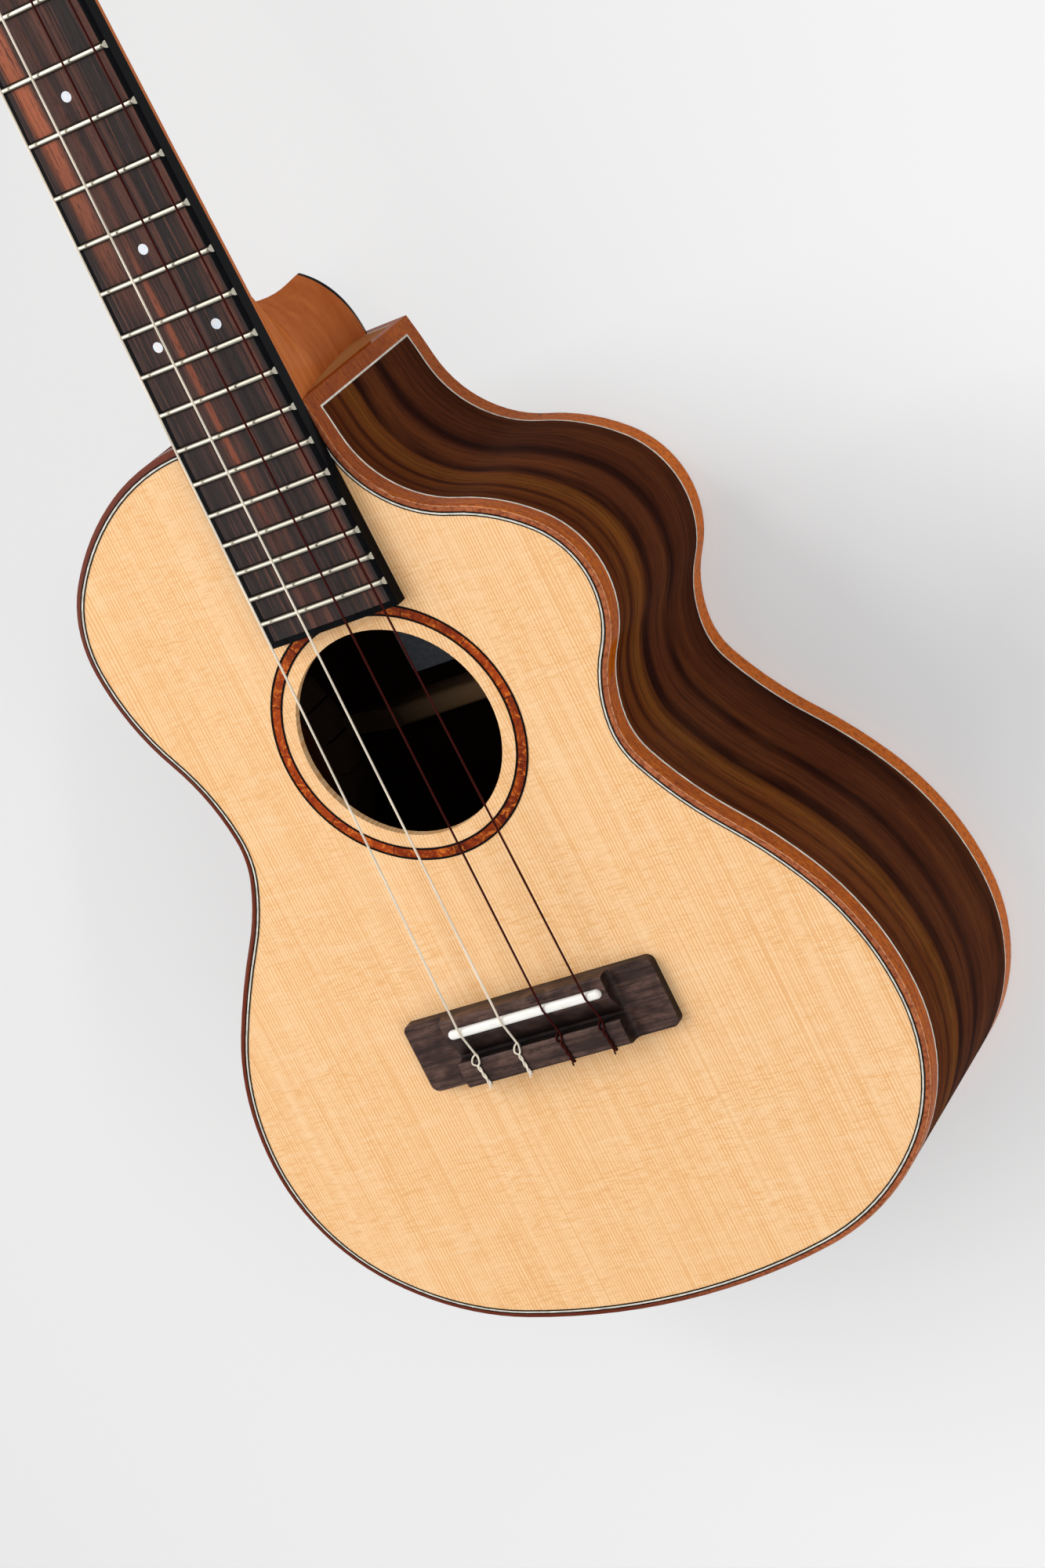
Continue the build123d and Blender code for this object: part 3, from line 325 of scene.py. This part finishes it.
def plain_wood(
    name, light, dark, scale, tilt=0.0, rough=0.75, gloss=0.25, coat=0.0, pore=None, dim=None
):
    """Straight-grained wood between two colours, its grain along the small number of scale.

    dim is (axis, stops, shade), a painted shade: the darker shade colour comes over the wood by the
    stops, whose places are those on that axis in decimetres, plus a half.
    """
    t = Finish(name)
    broad = t.noise(t.place(scale, tilt, 0.002, (20, 20, 20)), detail=4.0, roughness=0.6)
    fine = t.noise(t.place(tuple(4 * s for s in scale), tilt), detail=3.0, roughness=0.7)
    base = t.ramp(broad, [(0.3, colour(*dark)), (0.7, colour(*light))])
    base = t.mix(t.grey(fine, [(0.5, 0.0), (0.7, 0.45)]), base, colour(*(pore or dark)))
    if dim:
        # Painted shade: a darker colour over the wood along one axis.
        axis, stops, shade = dim
        along = t.maths("ADD", t.axes(t.place((10, 10, 10)))[axis], 0.5)
        base = t.mix(t.grey(along, stops), base, colour(*shade))
    t.set(Base_Color=base, Roughness=rough, Specular_IOR_Level=gloss)
    t.set(Coat_Weight=coat, Coat_Roughness=0.08)
    t.relief(fine, 0.00004, 0.3)
    return t.material


def binding_wood():
    """Glossy orange-brown binding. Painted light makes it brighter low down, where it lies in shade, and
    painted shade makes it dark red on the bass side.

    Its level face is painted pinker as a painted reflection, and a painted highlight, a pale line, runs
    along its rounded corner.
    """
    t = Finish("binding_wood")
    broad = t.noise(t.place((120, 120, 900), deck_tilt, 0.002, (20, 20, 20)), detail=4.0, roughness=0.6)
    fine = t.noise(t.place((700, 700, 2600), deck_tilt), detail=3.0, roughness=0.7)
    facing = t.facing()
    # Painted reflection: the level face, turned up, is painted pinker than the sides.
    level = t.grey(facing[2], [(0.74, 0.0), (0.88, 1.0)])
    spot = t.axes(t.place((10, 10, 10)))
    # Painted shade: the bass side, towards lower x, is painted dark red.
    bass = t.grey(t.maths("SUBTRACT", 0.6, spot[0]), [(0.05, 0.0), (0.80, 0.9)])
    base = t.ramp(broad, [(0.3, colour(150, 66, 8)), (0.7, colour(194, 100, 14))])
    base = t.mix(level, base, t.ramp(broad, [(0.3, colour(158, 86, 52)), (0.7, colour(188, 110, 70))]))
    # Painted highlight: a pale line where the rounded corner turns from level to side.
    corner = t.grey(facing[2], [(0.54, 0.0), (0.64, 0.7), (0.70, 0.7), (0.80, 0.0)])
    base = t.mix(corner, base, colour(230, 180, 142))
    # Painted light: the binding low down, which lies in shade, is painted brighter orange.
    base = t.mix(t.grey(spot[2], [(0.10, 0.7), (0.30, 0.0)]), base, colour(228, 122, 40))
    base = t.mix(bass, base, colour(92, 32, 19))
    base = t.mix(t.grey(fine, [(0.48, 0.0), (0.62, 0.7)]), base, colour(104, 38, 14))
    t.set(Base_Color=base, Roughness=0.4, Specular_IOR_Level=0.0, Coat_Weight=0.25, Coat_Roughness=0.07)
    t.relief(fine, 0.00002, 0.2)
    return t.material


def fretboard_rosewood():
    """Open-pored rosewood for the fretboard, near black with red-brown stripes along the neck."""
    t = Finish("fretboard_rosewood")
    parts = t.axes(t.place((1, 1, 1), deck_tilt, 0.0045, (60, 7, 8)))
    x, y = parts[0], parts[1]
    broad = t.noise(t.place((190, 1.8, 30), deck_tilt, 0.003, (40, 8, 10)), detail=2.0, roughness=0.5)
    stripes = t.noise(t.place((640, 7, 60), deck_tilt, 0.0022, (60, 22, 20)), detail=4.0, roughness=0.6)
    streaks = t.noise(t.place((1100, 16, 90), deck_tilt, 0.001, (60, 40, 20)), detail=3.0, roughness=0.7)
    pores = t.noise(t.place((3000, 230, 300), deck_tilt), detail=2.0, roughness=0.6)

    def stripe(place, half, middle, reach, strength):
        """How much of one broad stripe, half wide each way, shows within reach of its middle."""
        beside = t.maths("DIVIDE", t.maths("ABSOLUTE", t.maths("SUBTRACT", x, place)), 2 * half)
        beyond = t.maths("DIVIDE", t.maths("ABSOLUTE", t.maths("SUBTRACT", y, middle)), 2 * reach)
        near = t.grey(beside, [(0.28, strength), (0.52, 0.0)])
        return t.maths("MULTIPLY", near, t.grey(beyond, [(0.30, 1.0), (0.58, 0.0)]))

    base = t.ramp(broad, [
        (0.34, colour(92, 58, 49)), (0.44, colour(74, 50, 44)), (0.52, colour(52, 42, 40)),
        (0.62, colour(42, 38, 38)), (0.72, colour(70, 49, 43)),
    ])
    base = t.mix(stripe(0.0168, 0.0024, 0.15, 0.30, 0.55), base, colour(108, 64, 50))
    base = t.mix(stripe(0.0045, 0.0032, 0.28, 0.12, 0.6), base, colour(106, 64, 52))
    base = t.mix(t.grey(stripes, [(0.50, 0.0), (0.60, 0.8)]), base, colour(38, 31, 31))
    base = t.mix(stripe(-0.0122, 0.0040, 0.32, 0.115, 1.0), base, colour(166, 92, 64))
    base = t.mix(stripe(-0.0036, 0.0013, 0.163, 0.042, 0.9), base, colour(146, 80, 58))
    base = t.mix(t.grey(streaks, [(0.30, 0.85), (0.44, 0.0)]), base, colour(50, 32, 28))
    base = t.mix(t.grey(streaks, [(0.56, 0.0), (0.70, 0.75)]), base, colour(124, 76, 60))
    base = t.mix(t.grey(pores, [(0.56, 0.0), (0.68, 0.7)]), base, colour(26, 20, 19))
    t.set(Base_Color=base, Roughness=0.55, Specular_IOR_Level=0.15)
    t.set(Coat_Weight=0.04, Coat_Roughness=0.35)
    t.relief(pores, 0.00008, -0.4)
    return t.material


def bridge_rosewood():
    """Satin dark rosewood with cloudy figure and its grain across the instrument.

    Painted shade makes it near black in the corners of its steps, and on the faces turned from the
    light.
    """
    t = Finish("dark_rosewood")
    cloud = t.noise(t.place((90, 190, 120), deck_tilt, 0.004, (60, 60, 60)), detail=4.0, roughness=0.6)
    lines = t.noise(t.place((16, 520, 300), deck_tilt, 0.002, (30, 30, 30)), detail=4.0, roughness=0.65)
    pores = t.noise(t.place((190, 2200, 1200), deck_tilt), detail=2.0, roughness=0.6)
    base = t.ramp(cloud, [
        (0.34, colour(46, 31, 27)), (0.48, colour(72, 51, 45)), (0.60, colour(98, 72, 63)),
        (0.70, colour(58, 40, 35)),
    ])
    base = t.mix(t.grey(lines, [(0.46, 0.0), (0.62, 0.75)]), base, colour(38, 26, 23))
    base = t.mix(t.grey(pores, [(0.56, 0.0), (0.68, 0.6)]), base, colour(34, 23, 21))
    # Painted shade: near black in the corners and recesses of the steps.
    open_share = t.add("ShaderNodeAmbientOcclusion", {"Distance": 0.009}, samples=8).outputs["AO"]
    base = t.mix(t.grey(open_share, [(0.42, 1.0), (0.84, 0.0)]), base, colour(18, 12, 11))
    # Painted shade: the faces turned from the light, towards +x and -y, are painted darker.
    facing = t.facing()
    turned_away = t.maths("SUBTRACT", facing[0], facing[1])
    base = t.mix(t.grey(turned_away, [(0.16, 0.0), (0.62, 0.7)]), base, colour(20, 12, 11))
    t.set(Base_Color=base, Roughness=0.5, Specular_IOR_Level=0.15, Coat_Weight=0.08, Coat_Roughness=0.25)
    t.relief(pores, 0.00004, -0.3, 0.0004)
    return t.material


def trim(name, shade, rough=0.3, gloss=0.2, edge=0.0):
    """A thin plastic or fibre trim with a slight unevenness."""
    t = Finish(name)
    speck = t.noise(t.place((400, 400, 400)), detail=2.0)
    darker = tuple(value * 0.8 for value in shade)
    base = t.ramp(speck, [(0.3, colour(*darker)), (0.7, colour(*shade))])
    t.set(Base_Color=base, Roughness=rough, Specular_IOR_Level=gloss)
    t.set(Coat_Weight=gloss / 2, Coat_Roughness=0.1)
    if edge:
        t.soften(edge)
    return t.material


def metal(name, shade, rough, flank=None):
    """Plated metal with faint wear in its gloss. Faces along Y can be given the darker colour flank,
    a painted reflection.
    """
    t = Finish(name)
    wear = t.noise(t.place((90, 90, 90)), detail=3.0, roughness=0.6)
    worn = tuple(value * 0.95 for value in shade)
    base = t.ramp(wear, [(0.3, colour(*worn)), (0.7, colour(*shade))])
    if flank:
        # Painted reflection: the faces along Y, the fret sides, are painted darker.
        steep = t.maths("ABSOLUTE", t.facing()[1])
        base = t.mix(t.grey(steep, [(0.15, 0.0), (0.58, 1.0)]), base, colour(*flank))
    t.set(Base_Color=base, Metallic=1.0, Roughness=t.grey(wear, [(0.3, rough), (0.7, rough * 1.3)]))
    return t.material


def bone():
    """Polished off-white bone with faint pores."""
    t = Finish("bone")
    speck = t.noise(t.place((260, 900, 900)), detail=3.0)
    base = t.ramp(speck, [(0.3, colour(240, 237, 228)), (0.6, colour(250, 248, 242))])
    t.set(Base_Color=base, Roughness=0.25, Coat_Weight=0.3, Coat_Roughness=0.1)
    t.soften(0.0004)
    return t.material


def pearl():
    """Mother of pearl: pale, with soft blue and pink clouds."""
    t = Finish("pearl")
    cloud = t.noise(t.place((500, 300, 500)), detail=3.0, distortion=1.2)
    base = t.ramp(cloud, [
        (0.30, colour(196, 208, 226)), (0.48, colour(222, 228, 236)), (0.62, colour(232, 224, 226)),
        (0.75, colour(206, 220, 218)),
    ])
    t.set(Base_Color=base, Roughness=0.18, Coat_Weight=0.6, Coat_Roughness=0.05)
    return t.material


def rosette_wood():
    """Short lengths of lively red-brown wood, set end to end round the ring."""
    t = Finish("rosette_wood")
    low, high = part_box("rosette_ring")
    centre = ((low[0] + high[0]) / 2, (low[1] + high[1]) / 2, 0)
    coordinates = t.add("ShaderNodeTexCoord").outputs["Object"]
    offset = t.add("ShaderNodeVectorMath", {0: coordinates, 1: centre}, operation="SUBTRACT")
    parts = t.axes(offset.outputs[0])
    angle = t.maths("ARCTAN2", parts[1], parts[0])
    lengths = t.maths("MULTIPLY", angle, 1.9)
    piece = t.maths("FLOOR", lengths)
    tone = t.add("ShaderNodeTexWhiteNoise", {"W": piece}, noise_dimensions="1D").outputs[0]
    joint = t.maths("ABSOLUTE", t.maths("SUBTRACT", t.maths("FRACT", lengths), 0.5))
    fleck = t.noise(t.place((420, 420, 60)), detail=4.0, roughness=0.7, distortion=0.8)
    flame = t.noise(t.place((90, 90, 60)), detail=3.0, roughness=0.6, distortion=1.0)
    base = t.ramp(tone, [
        (0.0, colour(96, 28, 8)), (0.5, colour(152, 54, 14)), (1.0, colour(116, 36, 10)),
    ])
    base = t.mix(t.grey(flame, [(0.42, 0.0), (0.62, 0.6)]), base, colour(176, 70, 18))
    base = t.mix(t.grey(fleck, [(0.52, 0.0), (0.66, 0.9)]), base, colour(226, 124, 44))
    base = t.mix(t.grey(fleck, [(0.30, 0.8), (0.44, 0.0)]), base, colour(58, 14, 6))
    base = t.mix(t.grey(joint, [(0.490, 0.0), (0.494, 0.8)]), base, colour(40, 12, 8))
    t.set(Base_Color=base, Roughness=0.35, Specular_IOR_Level=0.05, Coat_Weight=0.1, Coat_Roughness=0.12)
    return t.material


def nylon(name, shade):
    """String nylon, clear or dyed dark."""
    t = Finish(name)
    streak = t.noise(t.place((900, 40, 900)), detail=2.0)
    darker = tuple(value * 0.85 for value in shade)
    base = t.ramp(streak, [(0.3, colour(*darker)), (0.7, colour(*shade))])
    t.set(Base_Color=base, Roughness=0.35, Specular_IOR_Level=0.05)
    return t.material


def label_paper():
    """Bare blue-grey paper."""
    t = Finish("label_paper")
    fibre = t.noise(t.place((700, 700, 700)), detail=4.0)
    base = t.ramp(fibre, [(0.3, colour(118, 128, 142)), (0.7, colour(144, 152, 162))])
    t.set(Base_Color=base, Roughness=0.9)
    t.relief(fibre, 0.00002, 0.3)
    return t.material


finishes = {
    "spruce": spruce(),
    "side_rosewood": side_rosewood(),
    "binding_wood": binding_wood(),
    "black_trim": trim("black_trim", (11, 12, 15), gloss=0.03, edge=0.0003),
    "white_trim": trim("white_trim", (236, 230, 216)),
    # Painted shade: the mahogany darkens below about 50 mm height, low on the heel.
    "mahogany": plain_wood(
        "mahogany", (204, 119, 62), (179, 97, 49), (260, 8, 260), deck_tilt, rough=0.5, gloss=0.0,
        coat=0.05, pore=(146, 72, 34), dim=(2, [(0.95, 0.28), (1.0, 0.0)], (142, 66, 26)),
    ),
    # Painted shade: the linings are painted dark brown, as they lie in shade inside the box.
    "lining_wood": plain_wood("lining_wood", (66, 48, 34), (50, 36, 25), (40, 40, 500), rough=0.8),
    # Painted shade: the braces darken towards the bass side, where they lie in shade inside the box.
    "brace_wood": plain_wood(
        "brace_wood", (196, 160, 122), (172, 132, 90), (8, 300, 300),
        dim=(0, [(0.1, 0.9), (0.5, 0.0)], (30, 20, 14)),
    ),
    "rosette_wood": rosette_wood(),
    "label_paper": label_paper(),
    "dark_rosewood": bridge_rosewood(),
    "bone": bone(),
    "fret_nickel": metal("fret_nickel", (218, 212, 194), 0.2, (76, 70, 62)),
    "pearl": pearl(),
    "string_dark": nylon("string_dark", (60, 14, 10)),
    "string_clear": nylon("string_clear", (252, 240, 220)),
    "machine_nickel": metal("machine_nickel", (214, 214, 216), 0.12),
    "button_black": trim("button_black", (20, 20, 22), rough=0.2, edge=0.0004),
}

for node in nodes.values():
    for slot in node.material_slots:
        slot.material = finishes[slot.material.name.split(".")[0]]

# Two pieces have a look of their own within the finish that the record gives them.
special = {"fretboard": fretboard_rosewood(), "back_plate": back_rosewood()}
for name, finish in special.items():
    for slot in nodes[name].material_slots:
        slot.material = finish

# The black lines of the purfling and the rosette spread a little. The white line stays above them.
line_swell = 0.00016
line_rise = 0.00017
for name in ("purfling_black", "rosette_lines"):
    swell = nodes[name].modifiers.new("swell", "DISPLACE")
    swell.strength = line_swell
    swell.mid_level = 0.0
rise = nodes["purfling_white"].modifiers.new("rise", "DISPLACE")
rise.direction = "Z"
rise.strength = line_rise
rise.mid_level = 0.0

# ---- Strings -----------------------------------------------------------------------------------
# Each one runs from its post over the nut and the saddle, through the tie block and back over it,
# round itself, and twists with its own end on top of the block. Sizes are in millimetres, on the deck's
# axes, and those of the posts and their windings are on the headstock's.
nut_y = 239.46
nut_length = 4.5
nut_top = 7.6
nut_pitch = 9.8
saddle_y = -194.34
saddle_top = 8.9
saddle_pitch = 15.1
tie_front = -203.94
tie_back = -212.54
tie_top = 8.0
tie_hole = 6.0
near_post, far_post = 42.0, 88.0
post_side = 19.5
winding_radius = 3.67
winding_height = 7.8
string_radius = 0.35
thread_radius = 0.29
head_drop = -1.5
head_angle = 12.0
head_frame = deck_frame @ Matrix.Translation((0, (nut_y + nut_length) / 1000, head_drop / 1000))
head_frame = head_frame @ Matrix.Rotation(math.radians(-head_angle), 4, "X")


def on_head(u, v, w):
    """A place in millimetres on the headstock's axes, as a point in metres in the row frame."""
    return head_frame @ Vector((u / 1000, v / 1000, w / 1000))


def tube(name, runs, finish):
    """One curve object with a smooth or straight run for each (kind, points, radius) in runs.

    The points are in metres, and the radii in millimetres.
    """
    data = bpy.data.curves.new(name, "CURVE")
    data.dimensions = "3D"
    data.bevel_depth = 0.001
    data.bevel_resolution = 3
    data.resolution_u = 8
    data.use_fill_caps = True
    for kind, points, radius in runs:
        spline = data.splines.new(kind)
        spline.points.add(len(points) - 1)
        for spot, point in zip(spline.points, points):
            spot.co = (*point, 1.0)
            spot.radius = radius
        if kind == "NURBS":
            spline.order_u = 4
            spline.use_endpoint_u = True
    piece = bpy.data.objects.new(name, data)
    bpy.context.scene.collection.objects.link(piece)
    data.materials.append(finish)
    return piece


def main_run(number):
    """The stretched part of a string, from its winding to the hole in the tie block."""
    step = 2.5 - number
    side = 1 if step > 0 else -1
    along = near_post if abs(step) > 1 else far_post
    x_saddle, x_nut = step * saddle_pitch, step * nut_pitch
    points = []
    for angle in range(70, -1, -10):
        turn = math.radians(angle)
        across = side * (post_side - winding_radius * math.cos(turn))
        points.append(on_head(across, along + winding_radius * math.sin(turn), winding_height))
    points.append(on_deck(x_nut, nut_y + nut_length, nut_top - 0.4))
    points.append(on_deck(x_nut, nut_y, nut_top))
    top = saddle_top + string_radius
    points.append(on_deck(x_saddle, saddle_y + 0.9, top))
    points.append(on_deck(x_saddle, saddle_y + 0.2, top + 0.02))
    points.append(on_deck(x_saddle, saddle_y - 0.5, top - 0.25))
    points.append(on_deck(x_saddle, tie_front + 0.6, tie_hole + 0.25))
    points.append(on_deck(x_saddle, tie_front - 1.5, tie_hole))
    return points


def tied_end(number, turns, eye, lean):
    """The end of a string: out of the hole, over the block, round the string and twisted back.

    turns is the number of half turns of the twist, eye the half width of its open loop, and lean how far
    its end lies to the side.
    """
    x = (2.5 - number) * saddle_pitch
    height = tie_top + 1.6 * thread_radius
    front, back = tie_front - 0.9, tie_back + 0.4

    def strand(side, share):
        """A point of one of the two twisted strands, at a share of the way from front to back."""
        spread = thread_radius * 1.12 + (eye - thread_radius) * max(0.0, 1 - 3.2 * share) ** 2
        turn = math.pi * turns * share + (0 if side > 0 else math.pi)
        across = x + lean * share + spread * math.cos(turn)
        lift = 0.6 * thread_radius * math.sin(turn)
        return on_deck(across, front + (back - front) * share, height + lift)

    steps = [index / 22 for index in range(23)]
    points = [
        on_deck(x, tie_back + 3, tie_hole), on_deck(x, tie_back - 0.1, tie_hole),
        on_deck(x + lean / 2, tie_back - 0.75, tie_hole + 0.4),
        on_deck(x + lean, tie_back - 0.6, tie_top - 0.9),
        on_deck(x + lean, tie_back - 0.3, tie_top + 0.35),
    ]
    points += [strand(1, share) for share in reversed(steps)]
    points += [
        on_deck(x + eye * 0.95, tie_front + 0.3, tie_top - 0.2),
        on_deck(x + eye * 0.5, tie_front + 1.0, tie_hole + 0.9),
        on_deck(x, tie_front + 1.1, tie_hole + 0.1),
        on_deck(x - eye * 0.5, tie_front + 1.0, tie_hole + 0.9),
        on_deck(x - eye * 0.95, tie_front + 0.3, tie_top - 0.2),
    ]
    points += [strand(-1, share) for share in steps]
    points += [
        on_deck(x + lean - 0.8, tie_back - 0.5, tie_top + 0.2),
        on_deck(x + lean - 1.1, tie_back - 1.6, tie_top - 0.6),
    ]
    return points


# For each string: its finish, and the turns, the eye and the lean of its tied end.
strings = {
    1: ("string_dark", (3, 0.8, 0.9)),
    2: ("string_dark", (3, 0.9, 1.1)),
    3: ("string_clear", (3, 1.0, 0.7)),
    4: ("string_clear", (3, 1.3, 1.2)),
}
for number, (slot_name, tie) in strings.items():
    runs = [
        ("POLY", main_run(number), string_radius),
        ("NURBS", tied_end(number, *tie), thread_radius),
    ]
    piece = tube(f"tied_string_{number}", runs, finishes[slot_name])
    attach(piece, "root")
    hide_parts(f"string_{number}")

# ---- Floor and light ---------------------------------------------------------------------------
floor_reach = 8.0
floor_level = -0.0005


def backdrop():
    """Matt paper that takes shadows, and glows where it is looked at so that it shows near white.

    It is painted paler towards the right of the view as painted light, has a painted shadow in a soft
    patch beside the body, and takes less shadow along the neck.
    """
    t = Finish("floor")
    spot = t.axes(t.place((0.88, 0.47, 1.0)))
    sideways = t.maths("ADD", t.maths("SUBTRACT", spot[0], spot[1]), 0.5)
    # Painted light: the floor is painted paler towards the right.
    shade = t.ramp(sideways, [(0.10, colour(225, 225, 225)), (0.95, colour(255, 255, 255))])
    # Painted shadow: a soft darker patch on the floor beside the body.
    from_patch = t.add(
        "ShaderNodeVectorMath",
        {0: t.place((1, 1, 1)), 1: (0.165, -0.010, floor_level)},
        operation="DISTANCE",
    ).outputs["Value"]
    dim = t.grey(t.maths("MULTIPLY", from_patch, 10.0), [(0.15, 0.8), (0.85, 0.0)])
    shade = t.mix(dim, shade, colour(220, 220, 221))
    t.set(Base_Color=shade, Roughness=0.9, Specular_IOR_Level=0.0)
    glow = t.add("ShaderNodeEmission", {"Color": shade, "Strength": 1.0}).outputs[0]
    ray = t.add("ShaderNodeLightPath").outputs
    seen = t.maths("ADD", ray["Is Camera Ray"], ray["Is Glossy Ray"])
    seen = t.maths("MINIMUM", t.maths("ADD", seen, ray["Is Transmission Ray"]), 1.0)
    along_neck = t.axes(t.place((1, 5, 1)))[1]
    share = t.maths("MULTIPLY", seen, t.grey(along_neck, [(0.30, 0.35), (0.62, 0.88)]))
    blend = t.add("ShaderNodeMixShader", {0: share, 1: t.shader.outputs[0], 2: glow})
    t.tree.links.new(blend.outputs[0], t.tree.nodes["Material Output"].inputs[0])
    return t.material


corners = [
    (x * floor_reach, y * floor_reach, floor_level) for x, y in ((-1, -1), (1, -1), (1, 1), (-1, 1))
]
floor_mesh = bpy.data.meshes.new("floor")
floor_mesh.from_pydata(corners, [], [(0, 1, 2, 3)])
floor_mesh.materials.append(backdrop())
floor = bpy.data.objects.new("floor", floor_mesh)
bpy.context.scene.collection.objects.link(floor)

world = bpy.data.worlds.new("world")
bpy.context.scene.world = world
world.use_nodes = True
world.node_tree.nodes["Background"].inputs["Color"].default_value = (1.0, 1.0, 1.0, 1.0)
world.node_tree.nodes["Background"].inputs["Strength"].default_value = 0.58


def area_light(name, place, width, height, power):
    """A soft lamp at place that shines at the origin, in the middle of the back."""
    data = bpy.data.lights.new(name, "AREA")
    data.shape = "RECTANGLE"
    data.size = width
    data.size_y = height
    data.energy = power
    lamp = bpy.data.objects.new(name, data)
    bpy.context.scene.collection.objects.link(lamp)
    lamp.location = place
    lamp.rotation_euler = (-Vector(place)).to_track_quat("-Z", "Y").to_euler()


area_light("key", (-1.22, 0.70, 0.98), 1.8, 1.8, 19.2)
area_light("key_core", (-0.70, 1.30, 1.00), 0.4, 0.4, 3.6)
area_light("fill", (1.05, 0.80, 0.80), 0.9, 0.9, 1.2)
area_light("edge_strip", (0.83, -0.40, 0.88), 1.3, 0.08, 2.6)
